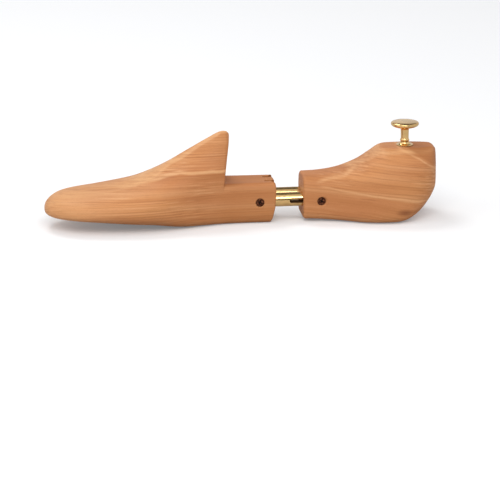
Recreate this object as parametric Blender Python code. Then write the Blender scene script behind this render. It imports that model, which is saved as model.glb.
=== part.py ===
"""Shoe tree: a forepart and a heel of cedar on two sprung brass tubes, hinged in the forepart.

Metres, +Z up, toe towards -X, origin under the middle of the object on the surface it rests on.
The heel lifts about the hinge screw, and slides towards the toe against two springs in its bores.
"""

from math import cos, exp, pi, radians, sin, tan

import bmesh
import bpy
from mathutils import Matrix, Vector

MM = 0.001

# Driving dimensions
FOREPART_LENGTH = 162.4 * MM
GAP_LENGTH = 19.4 * MM
HEEL_LENGTH = 95.8 * MM
TUBE_RADIUS = 5.0 * MM
TUBE_WALL = 0.9 * MM
TUBE_PITCH = 14.4 * MM
TUBE_HEIGHT = 15.6 * MM
SPRING_TRAVEL = 14.0 * MM
LARGEST_TILT = radians(38)
CLEARANCE = 0.3 * MM

# Places along the length, worked out from the driving dimensions
TOTAL_LENGTH = FOREPART_LENGTH + GAP_LENGTH + HEEL_LENGTH
TOE_X = -TOTAL_LENGTH / 2
FOREPART_END_X = TOE_X + FOREPART_LENGTH
PIVOT_X = FOREPART_END_X - 11.5 * MM
HEEL_FRONT_X = FOREPART_END_X + GAP_LENGTH
STOP_SCREW_X = HEEL_FRONT_X + 12.5 * MM
HEEL_END_X = HEEL_FRONT_X + HEEL_LENGTH
KNOB_X = HEEL_END_X - 21.9 * MM

# Forepart
SOLE_CUT = 0.45 * MM
TOE_TIP_HEIGHT = 13.2 * MM
TOE_NOSE_LENGTH = 34.0 * MM
TOE_NOSE_HEIGHT_LENGTH = 13.0 * MM
TOE_PLAN_POWER = 2.45
TOE_SIDE_POWER = 2.8
NOTCH_STATION = 124.8 * MM
NOTCH_LEAN = 0.165
LEAN_START_STATION = 90.0 * MM
BLOCK_TOP = 29.2 * MM
BLOCK_CROWN = 29.6 * MM
BLOCK_EDGE = 1.4 * MM
BLOCK_SLANT = 3.0 * MM
BLOCK_SLANT_TOP = 14.0 * MM
BLOCK_SLANT_STATION = 147.0 * MM
INSTEP_EDGE = 2.6 * MM
INSTEP_EDGE_RISE = 12.0 * MM
SHOULDER_SPREAD = 3.4 * MM

# Heel
HEEL_NOSE_LENGTH = 30.0 * MM
HEEL_PLAN_POWER = 2.35
HEEL_TOP = 50.7 * MM
HEEL_TOP_EDGE = 4.2 * MM
HEEL_FRONT_EDGE = 1.8 * MM

# Tubes and what is in the bores behind them
BORE_RADIUS = TUBE_RADIUS + CLEARANCE
TONGUE_THICKNESS = 2.4 * MM
TONGUE_INSET = 1.6 * MM
TONGUE_POWER = 5
TONGUE_TIP_STEPS = 6
TONGUE_END = 6.5 * MM
ROUND_START = 10.5 * MM
HOLLOW_START = 12.0 * MM
SLOT_HEIGHT = 3.7 * MM
SLOT_AHEAD = 22.1 * MM
SLOT_BEHIND = 2.1 * MM
TUBE_BEHIND_STOP = 8.6 * MM
PLUG_FLANGE = 1.2 * MM
PLUG_SPIGOT = 5.0 * MM
PLUG_NUB = 2.0 * MM
SPRING_LENGTH = 34.0 * MM
SPRING_WIRE_RADIUS = 0.55 * MM
SPRING_COIL_RADIUS = 3.85 * MM
SPRING_TURNS = 13
CLOSED_PITCH = 1.15
SEAT_THICKNESS = 1.5 * MM
TUBE_END_X = STOP_SCREW_X + TUBE_BEHIND_STOP
SPRING_START_X = TUBE_END_X + CLEARANCE + PLUG_FLANGE + CLEARANCE
SEAT_X = SPRING_START_X + SPRING_LENGTH + CLEARANCE
BORE_END_X = SEAT_X + SEAT_THICKNESS + CLEARANCE

# Kerfs in the forepart, in which the tubes' flattened ends turn
KERF_WIDTH = TONGUE_THICKNESS + 2 * CLEARANCE + 0.2 * MM
KERF_RADIUS = TUBE_RADIUS + 0.6 * MM
KERF_ANGLE = radians(50)
KERF_STEPS = 8
KERF_OFFSET = TUBE_PITCH / 2 - TONGUE_INSET
RELIEF_START = 6.2 * MM
RELIEF_END = 22.0 * MM
SPARE_TILT = radians(0.5)

# Screws
SCREW_RADIUS = 1.5 * MM
SCREW_HEAD_RADIUS = 2.8 * MM
SCREW_HEAD_HEIGHT = 1.9 * MM
SCREW_RECESS = 0.7 * MM
SCREW_LENGTH = 26.0 * MM
SCREW_RIM = 0.3 * MM
SCREW_SHANK = 15.0 * MM
THREAD_PITCH = 1.3 * MM
THREAD_ROOT_RADIUS = 1.0 * MM
HOLE_TAPER = 0.4 * MM
SCREW_HOLE_RADIUS = SCREW_RADIUS + CLEARANCE
HEAD_HOLE_RADIUS = SCREW_HEAD_RADIUS + CLEARANCE
CROSS_LENGTH = 3.3 * MM
CROSS_WIDTH = 0.8 * MM
CROSS_DEPTH = 1.2 * MM
CROSS_TURN = radians(25)

# Knob
ROSETTE_RADIUS = 6.0 * MM
ROSETTE_HEIGHT = 2.4 * MM
ROSETTE_NECK_RADIUS = 3.2 * MM
ROSETTE_LIP = 0.4 * MM
ROSETTE_STEPS = 6
KNOB_FOOT_RADIUS = 2.8 * MM
STUD_RADIUS = 1.5 * MM
STUD_TIP_RADIUS = 0.6 * MM
STUD_POINT = 2.5 * MM
STUD_DEPTH = 18.0 * MM
STUD_IN_KNOB = 8.0 * MM

KNOB_OUTLINE = (
    (3.15, 3.3), (3.3, 3.9), (3.15, 4.6), (2.8, 5.0), (2.8, 5.5), (2.85, 8.4),
    (2.95, 11.3), (3.25, 12.0), (4.2, 12.5), (6.6, 13.1), (8.8, 13.9), (9.8, 14.7),
    (10.0, 15.6), (9.85, 16.3), (9.2, 16.85), (7.2, 17.2), (3.8, 17.35), (0, 17.4),
)

# Steps of the meshes
LOWER_STEPS = 6
UPPER_STEPS = 8
FOREPART_STATIONS = (44, 54, 64, 74, 84, 93, 101, 108, 114, 119.5)
BLOCK_STATIONS = (133 * MM, 147 * MM)
HEEL_STATIONS = (9, 18, 26, 33, 39, 45, 51, 56, 61)
TOE_STEPS = 7
BACK_STEPS = 9
ROUND_SIDES = 24
SMALL_SIDES = 16
KNOB_SIDES = 32
COIL_STEPS_PER_TURN = 12
WIRE_SIDES = 5
SHARP_ANGLE = radians(38)
END_RING = 0.08 * MM
OVERSHOOT = 3.0 * MM

# Outlines as (station, value) in millimetres. A station is a distance from the toe tip.
FOREPART_MIDDLE = ((0, -5.0), (40, -3.0), (80, -0.8), (111, 0), (163, 0))
FOREPART_NEAR = (
    (0, 25.2), (20, 29.4), (40, 32.4), (61, 34.9), (79, 33.2),
    (97, 27.2), (111, 21.7), (125, 17.2), (139, 15.4), (163, 14.8),
)
FOREPART_FAR = (
    (0, 25.2), (20, 29.4), (41, 33.4), (65, 37.3), (83, 37.3),
    (99, 31.4), (112, 23.3), (125, 17.2), (139, 15.4), (163, 14.8),
)
FOREPART_SOLE = (
    (0, 9.8), (24, 7.8), (44, 5.6), (65, 3.3), (80, 1.8), (92, 0.5), (103, 0), (163, 0),
)
FOREPART_WAIST = ((0, 13.6), (40, 14.5), (75, 16.5), (98, 18.5), (125, 20), (163, 20))
FOREPART_TOP = (
    (0, 20.6), (14, 25.3), (38, 28.2), (63, 32.4), (77, 37.9),
    (89, 44.6), (102, 53.2), (112, 60.2), (119, 64.6), (125, 64.2),
)
FOREPART_LOWER_POWER = ((0, 2.3), (60, 2.4), (78, 2.6), (98, 3.7), (125, 4.5), (163, 5.0))
FOREPART_SIDE_POWER = ((0, 2.2), (50, 2.1), (80, 2.2), (104, 2.5), (125, 2.7))
FOREPART_RIDGE_POWER = ((0, 2.2), (50, 2.0), (80, 1.55), (104, 1.35), (125, 1.35))
BLOCK_POWER = 5.0
SHOULDER_LINE = ((64, 30), (80, 36), (97, 39), (128, 39.4))
SHOULDER_SWELL = ((60, 0), (80, 0.3), (97, 0.6), (128, 0.6))
INSTEP_HOLLOW = ((70, 0), (90, 0.06), (108, 0.17), (125, 0.17))

# Outlines of the heel, as above. A station is a distance from the heel's front face.
HEEL_WIDTH = ((0, 15.5), (12, 16.2), (26, 19.8), (42, 26.2), (56, 29.4), (70, 30.0), (96, 30.0))
HEEL_SOLE = (
    (0, 2.1), (14, 1.5), (32, 0.4), (44, 0), (65, 0), (73, 1.3), (81, 5.6), (89, 13.4), (96, 22.4),
)
HEEL_WAIST = ((0, 17), (30, 18), (60, 20), (80, 23), (96, 31))
HEEL_CROWN = (
    (0, 32.5), (12, 32.8), (23, 34.1), (32, 36.4), (42, 40.5),
    (50, 45.8), (57, 50.6), (64, 51.6), (96, 51.5),
)
HEEL_LOWER_POWER = ((0, 5.5), (30, 5.2), (50, 6.0), (66, 5.4), (80, 3.8), (96, 2.8))
HEEL_UPPER_POWER = ((0, 4.0), (12, 3.8), (25, 3.3), (42, 2.7), (60, 2.4), (96, 2.4))


def smooth(points, station):
    """Value in metres at a station in metres, on a cubic through the points with chord slopes."""
    at = station / MM
    if at <= points[0][0]:
        return points[0][1] * MM
    if at >= points[-1][0]:
        return points[-1][1] * MM
    slopes = []
    for i in range(len(points)):
        before = points[max(i - 1, 0)]
        after = points[min(i + 1, len(points) - 1)]
        slopes.append((after[1] - before[1]) / (after[0] - before[0]))
    i = max(k for k in range(len(points) - 1) if points[k][0] <= at)
    (start, low), (end, high) = points[i], points[i + 1]
    width = end - start
    t = (at - start) / width
    value = (
        (2 * t**3 - 3 * t**2 + 1) * low
        + (t**3 - 2 * t**2 + t) * width * slopes[i]
        + (3 * t**2 - 2 * t**3) * high
        + (t**3 - t**2) * width * slopes[i + 1]
    )
    return value * MM


def nose(distance, length, power):
    """Share of full size at a distance from a rounded end, from 0 at the end to 1 past its length."""
    left = 1 - min(max(distance / length, 0), 1)
    return (1 - left**power) ** (1 / power)


def quarter(step, steps, power):
    """Point on a quarter of a superellipse of radius 1, from its side at step 0 to its top."""
    angle = step / steps * pi / 2
    return cos(angle) ** (2 / power) if step < steps else 0.0, sin(angle) ** (2 / power)


def section(x, middle, near, far, sole, waist, crown, powers, floor, ceiling):
    """Closed ring of points across the length, from the middle of the sole up the near side and over.

    powers are the superellipse powers of the lower half, of the side above it and of the ridge.
    """
    lower_power, side_power, ridge_power = powers
    upper = []
    for step in range(UPPER_STEPS + 1):
        power = side_power + (ridge_power - side_power) * step / UPPER_STEPS
        upper.append(quarter(step, UPPER_STEPS, power))
    lower = [quarter(step, LOWER_STEPS, lower_power) for step in range(LOWER_STEPS + 1)]
    ring = []
    for across, down in reversed(lower):
        ring.append((x, middle - near * across, waist - (waist - sole) * down))
    for across, up in upper[1:]:
        ring.append((x, middle - near * across, waist + (crown - waist) * up))
    for across, up in reversed(upper[:-1]):
        ring.append((x, middle + far * across, waist + (crown - waist) * up))
    for across, down in lower[1:-1]:
        ring.append((x, middle + far * across, waist - (waist - sole) * down))
    return [Vector((px, py, min(max(pz, floor), ceiling))) for px, py, pz in ring]


def forepart_section(station, low_block=False):
    """Ring of the forepart at a station, with its toe rounded in plan and in height."""
    wide = nose(station, TOE_NOSE_LENGTH, TOE_PLAN_POWER)
    tall = nose(station, TOE_NOSE_HEIGHT_LENGTH, TOE_SIDE_POWER)
    sole = max(smooth(FOREPART_SOLE, station), 0)
    waist = TOE_TIP_HEIGHT + (smooth(FOREPART_WAIST, station) - TOE_TIP_HEIGHT) * tall
    lower_power = smooth(FOREPART_LOWER_POWER, station) / MM
    if low_block:
        crown, ceiling = BLOCK_CROWN, BLOCK_TOP
        powers = (lower_power, BLOCK_POWER, BLOCK_POWER)
    else:
        crown = ceiling = smooth(FOREPART_TOP, station)
        side_power = smooth(FOREPART_SIDE_POWER, station) / MM
        powers = (lower_power, side_power, smooth(FOREPART_RIDGE_POWER, station) / MM)
    return section(
        TOE_X + station,
        smooth(FOREPART_MIDDLE, station),
        smooth(FOREPART_NEAR, station) * wide,
        smooth(FOREPART_FAR, station) * wide,
        waist - (waist - sole + SOLE_CUT) * tall,
        waist,
        waist + (crown - waist) * tall,
        powers,
        waist - (waist - sole) * tall,
        ceiling,
    )


def leaned(ring, station):
    """Tall ring with its upper part leaning towards the heel, more so near the notch."""
    share = min(max((station - LEAN_START_STATION) / (NOTCH_STATION - LEAN_START_STATION), 0), 1)
    lean = NOTCH_LEAN * share * share * (3 - 2 * share)
    return [point + Vector((lean * max(point.z - BLOCK_TOP, 0), 0, 0)) for point in ring]


def shaped_instep(ring, station):
    """Ring whose sides swell a little along the shoulder line and are flatter above it."""
    line = smooth(SHOULDER_LINE, station)
    swell = smooth(SHOULDER_SWELL, station)
    hollow = smooth(INSTEP_HOLLOW, station) / MM
    crown = max(point.z for point in ring)
    shaped = []
    for point in ring:
        share = min(max((point.z - line) / (crown - line), 0), 1)
        out = swell * exp(-(((point.z - line) / SHOULDER_SPREAD) ** 2))
        narrow = 1 - hollow * sin(pi * share)
        shaped.append(Vector((point.x, point.y * narrow + (out if point.y > 0 else -out), point.z)))
    return shaped


def slanted(ring, station):
    """Ring of the low block whose lower part is drawn forward, more so towards the back end."""
    along = min((station - BLOCK_SLANT_STATION) / (FOREPART_LENGTH - BLOCK_SLANT_STATION), 1)
    shift = BLOCK_SLANT * max(along, 0)
    below = [max(1 - point.z / BLOCK_SLANT_TOP, 0) for point in ring]
    return [Vector((p.x - shift * low, p.y, p.z)) for p, low in zip(ring, below)]


def eased_instep(ring, turn):
    """Ring of the instep's rounded back edge. The rounding fades out down at the block's top."""
    eased = []
    middle = Vector((0, 0, ring[LOWER_STEPS].z))
    for point in ring:
        share = min(max((point.z - BLOCK_TOP) / INSTEP_EDGE_RISE, 0), 1)
        radius = INSTEP_EDGE * share
        inward = Vector((0, middle.y - point.y, middle.z - point.z))
        if inward.length > 0:
            inward.normalize()
        back = Vector((-radius * (1 - sin(turn)), 0, 0))
        eased.append(point + back + inward * radius * (1 - cos(turn)))
    return eased


def shrunk(ring, inset, x):
    """Ring moved to x and drawn in by an inset on every side."""
    low = min(point.z for point in ring)
    high = max(point.z for point in ring)
    half = (max(point.y for point in ring) - min(point.y for point in ring)) / 2
    middle = (low + high) / 2
    across = (half - inset) / half
    upright = ((high - low) / 2 - inset) / ((high - low) / 2)
    return [Vector((x, point.y * across, middle + (point.z - middle) * upright)) for point in ring]


def forepart_rings():
    rings = [forepart_section(END_RING)]
    for step in range(1, TOE_STEPS + 1):
        rings.append(forepart_section(TOE_NOSE_LENGTH * (1 - cos(step / TOE_STEPS * pi / 2))))
    for station in FOREPART_STATIONS:
        ring = shaped_instep(forepart_section(station * MM), station * MM)
        rings.append(leaned(ring, station * MM))
    face = leaned(shaped_instep(forepart_section(NOTCH_STATION), NOTCH_STATION), NOTCH_STATION)
    for turn in (0, 30, 60, 90):
        rings.append(eased_instep(face, radians(turn)))
    for station in (NOTCH_STATION, *BLOCK_STATIONS):
        rings.append(forepart_section(station, low_block=True))
    last = forepart_section(FOREPART_LENGTH, low_block=True)
    for turn in (0, 22.5, 45, 67.5, 90):
        along = BLOCK_EDGE * (1 - sin(radians(turn)))
        ring = shrunk(last, BLOCK_EDGE * (1 - cos(radians(turn))), FOREPART_END_X - along)
        rings.append(slanted(ring, FOREPART_LENGTH))
    return rings


def heel_section(station):
    """Ring of the heel at a station, with its back rounded in plan and its top's back edge rounded."""
    wide = nose(HEEL_LENGTH - station, HEEL_NOSE_LENGTH, HEEL_PLAN_POWER)
    edge = nose(HEEL_LENGTH - station, HEEL_TOP_EDGE, 2)
    width = smooth(HEEL_WIDTH, station) * wide
    sole = max(smooth(HEEL_SOLE, station), 0)
    drop = HEEL_TOP_EDGE * (1 - edge)
    return section(
        HEEL_FRONT_X + station,
        0,
        width,
        width,
        sole - SOLE_CUT,
        smooth(HEEL_WAIST, station),
        smooth(HEEL_CROWN, station) - drop,
        [smooth(HEEL_LOWER_POWER, station) / MM] + [smooth(HEEL_UPPER_POWER, station) / MM] * 2,
        sole,
        HEEL_TOP - drop,
    )


def heel_rings():
    first = heel_section(0)
    rings = []
    for turn in (90, 60, 30, 0):
        along = HEEL_FRONT_EDGE * (1 - sin(radians(turn)))
        rings.append(shrunk(first, HEEL_FRONT_EDGE * (1 - cos(radians(turn))), HEEL_FRONT_X + along))
    for station in HEEL_STATIONS:
        rings.append(heel_section(station * MM))
    for step in range(BACK_STEPS):
        from_end = HEEL_NOSE_LENGTH * (1 - sin(step / BACK_STEPS * pi / 2))
        rings.append(heel_section(HEEL_LENGTH - from_end))
    rings.append(heel_section(HEEL_LENGTH - END_RING))
    return rings


def loft(rings):
    """Closed mesh through rings of equally many points, with both ends capped."""
    bm = bmesh.new()
    rows = [[bm.verts.new(point) for point in ring] for ring in rings]
    count = len(rings[0])
    for low, high in zip(rows, rows[1:]):
        for k in range(count):
            following = (k + 1) % count
            bm.faces.new((low[k], low[following], high[following], high[k]))
    bm.faces.new(reversed(rows[0]))
    bm.faces.new(rows[-1])
    bmesh.ops.remove_doubles(bm, verts=bm.verts, dist=1e-6)
    bmesh.ops.recalc_face_normals(bm, faces=bm.faces)
    return bm


def turned(profile, sides, hollow=False):
    """Closed solid of revolution about Z, from (radius, height) points.

    The profile starts and ends on the axis, or is the closed outline of a ring if hollow.
    """
    bm = bmesh.new()
    rows = []
    for radius, height in profile:
        if radius == 0:
            rows.append([bm.verts.new((0, 0, height))])
            continue
        angles = (2 * pi * k / sides for k in range(sides))
        rows.append([bm.verts.new((radius * cos(a), radius * sin(a), height)) for a in angles])
    if hollow:
        rows.append(rows[0])
    for low, high in zip(rows, rows[1:]):
        for k in range(sides):
            corners = [low[k % len(low)], low[(k + 1) % sides % len(low)]]
            corners += [high[(k + 1) % sides % len(high)], high[k % len(high)]]
            bm.faces.new(list(dict.fromkeys(corners)))
    bmesh.ops.recalc_face_normals(bm, faces=bm.faces)
    return bm


def cylinder(radius, length, sides=ROUND_SIDES):
    return turned(((0, 0), (radius, 0), (radius, length), (0, length)), sides)


def box(low, high):
    bm = bmesh.new()
    bmesh.ops.create_cube(bm, size=1)
    bmesh.ops.scale(bm, vec=Vector(high) - Vector(low), verts=bm.verts)
    bmesh.ops.translate(bm, vec=(Vector(low) + Vector(high)) / 2, verts=bm.verts)
    return bm


def prism(outline, low_y, high_y):
    """Solid between two planes across Y, from an outline of (x, z) points."""
    bm = bmesh.new()
    near = [bm.verts.new((x, low_y, z)) for x, z in outline]
    far = [bm.verts.new((x, high_y, z)) for x, z in outline]
    bm.faces.new(near)
    bm.faces.new(reversed(far))
    for k in range(len(outline)):
        following = (k + 1) % len(outline)
        bm.faces.new((near[k], far[k], far[following], near[following]))
    bmesh.ops.recalc_face_normals(bm, faces=bm.faces)
    return bm


def material(name, colour, roughness, metallic):
    made = bpy.data.materials.new(name)
    made.use_nodes = True
    shader = made.node_tree.nodes["Principled BSDF"]
    shader.inputs["Base Color"].default_value = (*colour, 1)
    shader.inputs["Roughness"].default_value = roughness
    shader.inputs["Metallic"].default_value = metallic
    return made


def new_object(name, bm, finish=None, place=Matrix()):
    """Object from a bmesh, smooth where its faces meet at a shallow angle."""
    mesh = bpy.data.meshes.new(name)
    bm.to_mesh(mesh)
    bm.free()
    mesh.shade_smooth()
    mesh.set_sharp_from_angle(angle=SHARP_ANGLE)
    obj = bpy.data.objects.new(name, mesh)
    bpy.context.collection.objects.link(obj)
    obj.matrix_world = place
    if finish:
        mesh.materials.append(finish)
    return obj


def cut(target, bm, place=Matrix()):
    """Cuts a closed bmesh from the target with a Boolean."""
    cutter = new_object(f"{target.name}_cutter_{len(target.modifiers)}", bm, place=place)
    cutter.hide_render = True
    cutter.display_type = "WIRE"
    modifier = target.modifiers.new("Cut", "BOOLEAN")
    modifier.operation = "DIFFERENCE"
    modifier.solver = "EXACT"
    modifier.object = cutter


def along_x(x, y, z=TUBE_HEIGHT):
    """Placement that turns +Z to +X and moves the origin to a point."""
    return Matrix.Translation((x, y, z)) @ Matrix.Rotation(pi / 2, 4, "Y")


def along_y(x, y, z=TUBE_HEIGHT):
    """Placement that turns +Z to +Y and moves the origin to a point."""
    return Matrix.Translation((x, y, z)) @ Matrix.Rotation(-pi / 2, 4, "X")


def kerf_outline():
    """Side view of the kerf: round under the pivot, open to the back and, behind a slope, to the top."""
    back = FOREPART_END_X + OVERSHOOT
    top = BLOCK_TOP + OVERSHOOT
    outline = [(back, TUBE_HEIGHT - KERF_RADIUS)]
    for step in range(KERF_STEPS + 1):
        angle = -pi / 2 - (pi - KERF_ANGLE) * step / KERF_STEPS
        outline.append((PIVOT_X + KERF_RADIUS * cos(angle), TUBE_HEIGHT + KERF_RADIUS * sin(angle)))
    start_x, start_z = outline[-1]
    outline.append((start_x + (top - start_z) / tan(KERF_ANGLE), top))
    outline.append((back, top))
    return outline


def relief():
    """Space that a round tube sweeps about the pivot, from level up to its largest tilt."""
    bm = bmesh.new()
    for tilt in (0, LARGEST_TILT + SPARE_TILT):
        turn = Matrix.Rotation(-tilt, 3, "Y")
        for reach in (RELIEF_START, RELIEF_END):
            for k in range(ROUND_SIDES):
                angle = 2 * pi * k / ROUND_SIDES
                across = BORE_RADIUS / cos(pi / ROUND_SIDES)
                point = Vector((reach, across * cos(angle), across * sin(angle)))
                bm.verts.new(turn @ point)
    bmesh.ops.convex_hull(bm, input=bm.verts)
    loose = [vertex for vertex in bm.verts if not vertex.link_faces]
    bmesh.ops.delete(bm, geom=loose, context="VERTS")
    bmesh.ops.recalc_face_normals(bm, faces=bm.faces)
    return bm


def cut_screw_hole(target, x, near_face):
    """Hole for a screw driven in from the near side, wider where its head sits."""
    shoulder = OVERSHOOT + SCREW_RECESS + SCREW_HEAD_HEIGHT + CLEARANCE
    end = OVERSHOOT + SCREW_RECESS + SCREW_LENGTH + CLEARANCE
    profile = (
        (0, 0),
        (HEAD_HOLE_RADIUS, 0),
        (HEAD_HOLE_RADIUS, shoulder),
        (SCREW_HOLE_RADIUS, shoulder + HOLE_TAPER),
        (SCREW_HOLE_RADIUS, end),
        (0, end),
    )
    cut(target, turned(profile, ROUND_SIDES), along_y(x, near_face - OVERSHOOT))


def build_forepart(cedar):
    forepart = new_object("forepart", loft(forepart_rings()), cedar)
    outline = kerf_outline()
    for side in (-1, 1):
        middle = side * KERF_OFFSET
        cut(forepart, prism(outline, middle - KERF_WIDTH / 2, middle + KERF_WIDTH / 2))
        place = Matrix.Translation((PIVOT_X, side * TUBE_PITCH / 2, TUBE_HEIGHT))
        cut(forepart, relief(), place)
    cut_screw_hole(forepart, PIVOT_X, -smooth(FOREPART_NEAR, PIVOT_X - TOE_X))
    return forepart


def build_heel(cedar):
    heel = new_object("heel", loft(heel_rings()), cedar)
    for side in (-1, 1):
        length = BORE_END_X - HEEL_FRONT_X + OVERSHOOT
        place = along_x(HEEL_FRONT_X - OVERSHOOT, side * TUBE_PITCH / 2)
        cut(heel, cylinder(BORE_RADIUS, length), place)
    cut_screw_hole(heel, STOP_SCREW_X, -smooth(HEEL_WIDTH, STOP_SCREW_X - HEEL_FRONT_X))
    depth = STUD_DEPTH + CLEARANCE
    place = Matrix.Translation((KNOB_X, 0, HEEL_TOP - depth))
    cut(heel, cylinder(STUD_RADIUS + CLEARANCE, depth + OVERSHOOT, SMALL_SIDES), place)
    return heel


def tube_ring(x, tongue_share, side):
    """Ring about the tube, from round at share 0 to the flat tongue's rounded oblong at share 1."""
    ring = []
    for k in range(ROUND_SIDES):
        angle = 2 * pi * k / ROUND_SIDES
        round_y, round_z = TUBE_RADIUS * cos(angle), TUBE_RADIUS * sin(angle)
        squared = abs(cos(angle)) ** (2 / TONGUE_POWER)
        flat_y = TONGUE_THICKNESS / 2 * squared * (1 if cos(angle) > 0 else -1)
        flat_z = TUBE_RADIUS * sin(angle)
        y = round_y + (flat_y - side * TONGUE_INSET - round_y) * tongue_share
        z = round_z + (flat_z - round_z) * tongue_share
        ring.append(Vector((x, y, z)))
    return ring


def build_tube(name, side, brass):
    """Tube from the pivot: a tongue round the hinge screw, then a round tube with a stop slot."""
    end = TUBE_END_X - PIVOT_X
    rings = []
    for step in range(1, TONGUE_TIP_STEPS + 1):
        angle = step / TONGUE_TIP_STEPS * pi / 2
        ring = tube_ring(-TUBE_RADIUS * cos(angle), 1, side)
        rings.append([Vector((p.x, p.y, p.z * sin(angle))) for p in ring])
    rings.append(tube_ring(TONGUE_END, 1, side))
    for share in (0.25, 0.5, 0.75, 1):
        eased = share * share * (3 - 2 * share)
        rings.append(tube_ring(TONGUE_END + (ROUND_START - TONGUE_END) * share, 1 - eased, side))
    rings.append(tube_ring(end, 0, side))
    place = Matrix.Translation((PIVOT_X, side * TUBE_PITCH / 2, TUBE_HEIGHT))
    tube = new_object(name, loft(rings), brass, place)
    hollow = cylinder(TUBE_RADIUS - TUBE_WALL, end - HOLLOW_START + OVERSHOOT)
    cut(tube, hollow, along_x(PIVOT_X + HOLLOW_START, side * TUBE_PITCH / 2))
    start = STOP_SCREW_X - SLOT_AHEAD + SLOT_HEIGHT / 2
    finish = STOP_SCREW_X + SLOT_BEHIND - SLOT_HEIGHT / 2
    outline = []
    for centre, first in ((finish, -90), (start, 90)):
        for step in range(7):
            angle = radians(first + 30 * step)
            x = centre + SLOT_HEIGHT / 2 * cos(angle)
            outline.append((x, TUBE_HEIGHT + SLOT_HEIGHT / 2 * sin(angle)))
    middle = side * TUBE_PITCH / 2
    reach = TUBE_RADIUS + CLEARANCE
    cut(tube, prism(outline, middle - reach, middle + reach))
    hole = cylinder(SCREW_HOLE_RADIUS, 2 * OVERSHOOT, SMALL_SIDES)
    cut(tube, hole, along_y(PIVOT_X, side * KERF_OFFSET - OVERSHOOT))
    return tube


def build_plug(name, side, brass):
    """Plug in a tube's back end: a spigot, a flange for the spring, and a nub inside the coil."""
    spigot_radius = TUBE_RADIUS - TUBE_WALL - CLEARANCE
    flange_radius = TUBE_RADIUS - CLEARANCE
    nub_radius = SPRING_COIL_RADIUS - SPRING_WIRE_RADIUS - CLEARANCE
    profile = (
        (0, -PLUG_SPIGOT),
        (spigot_radius, -PLUG_SPIGOT),
        (spigot_radius, CLEARANCE),
        (flange_radius, CLEARANCE),
        (flange_radius, CLEARANCE + PLUG_FLANGE),
        (nub_radius, CLEARANCE + PLUG_FLANGE),
        (nub_radius, CLEARANCE + PLUG_FLANGE + PLUG_NUB),
        (0, CLEARANCE + PLUG_FLANGE + PLUG_NUB),
    )
    place = along_x(TUBE_END_X, side * TUBE_PITCH / 2)
    return new_object(name, turned(profile, ROUND_SIDES), brass, place)


def build_seat(name, side, steel):
    """Disc at the bottom of a bore, with a nub inside the coil."""
    nub_radius = SPRING_COIL_RADIUS - SPRING_WIRE_RADIUS - CLEARANCE
    disc_radius = BORE_RADIUS - CLEARANCE
    profile = (
        (0, -PLUG_NUB),
        (nub_radius, -PLUG_NUB),
        (nub_radius, 0),
        (disc_radius, 0),
        (disc_radius, SEAT_THICKNESS),
        (0, SEAT_THICKNESS),
    )
    place = along_x(SEAT_X, side * TUBE_PITCH / 2)
    return new_object(name, turned(profile, ROUND_SIDES), steel, place)


def build_spring(name, side, steel):
    """Open coil along X, whose first and last turns lie closed against the pieces at its ends."""
    closed_share = 1 / SPRING_TURNS
    closed_rise = CLOSED_PITCH * 2 * SPRING_WIRE_RADIUS
    run = SPRING_LENGTH - 2 * SPRING_WIRE_RADIUS - 2 * closed_rise
    total = SPRING_TURNS * COIL_STEPS_PER_TURN
    rings = []
    for step in range(total + 1):
        share = step / total
        if share < closed_share:
            height = closed_rise * share / closed_share
        elif share > 1 - closed_share:
            height = closed_rise + run + closed_rise * (share - 1 + closed_share) / closed_share
        else:
            height = closed_rise + run * (share - closed_share) / (1 - 2 * closed_share)
        angle = 2 * pi * SPRING_TURNS * share
        outward = Vector((0, cos(angle), sin(angle)))
        centre = outward * SPRING_COIL_RADIUS + Vector((SPRING_WIRE_RADIUS + height, 0, 0))
        ring = []
        for k in range(WIRE_SIDES):
            turn = 2 * pi * k / WIRE_SIDES
            across = outward * cos(turn) + Vector((sin(turn), 0, 0))
            ring.append(centre + SPRING_WIRE_RADIUS * across)
        rings.append(ring)
    place = Matrix.Translation((SPRING_START_X, side * TUBE_PITCH / 2, TUBE_HEIGHT))
    return new_object(name, loft(rings), steel, place)


def build_screw(name, x, near_face, bronze):
    """Countersunk wood screw along +Y with a cross recess, a plain shank and a threaded point."""
    profile = [(0, 0), (SCREW_HEAD_RADIUS - SCREW_RIM, 0), (SCREW_HEAD_RADIUS, SCREW_RIM)]
    profile += [(SCREW_RADIUS, SCREW_HEAD_HEIGHT), (SCREW_RADIUS, SCREW_SHANK)]
    height = SCREW_SHANK
    while height + 2 * THREAD_PITCH < SCREW_LENGTH:
        left = min(1, (SCREW_LENGTH - height - THREAD_PITCH) / (4 * THREAD_PITCH))
        root = THREAD_ROOT_RADIUS * left
        profile += [(root, height + 0.3 * THREAD_PITCH), (root, height + 0.6 * THREAD_PITCH)]
        profile.append((SCREW_RADIUS * left, height + THREAD_PITCH))
        height += THREAD_PITCH
    profile.append((0, SCREW_LENGTH))
    place = along_y(x, near_face + SCREW_RECESS)
    screw = new_object(name, turned(profile, ROUND_SIDES), bronze, place)
    for length, width in ((CROSS_LENGTH, CROSS_WIDTH), (CROSS_WIDTH, CROSS_LENGTH)):
        low = (-length / 2, -width / 2, -OVERSHOOT)
        arm = box(low, (length / 2, width / 2, CROSS_DEPTH))
        cut(screw, arm, place @ Matrix.Rotation(CROSS_TURN, 4, "Z"))
    return screw


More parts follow.
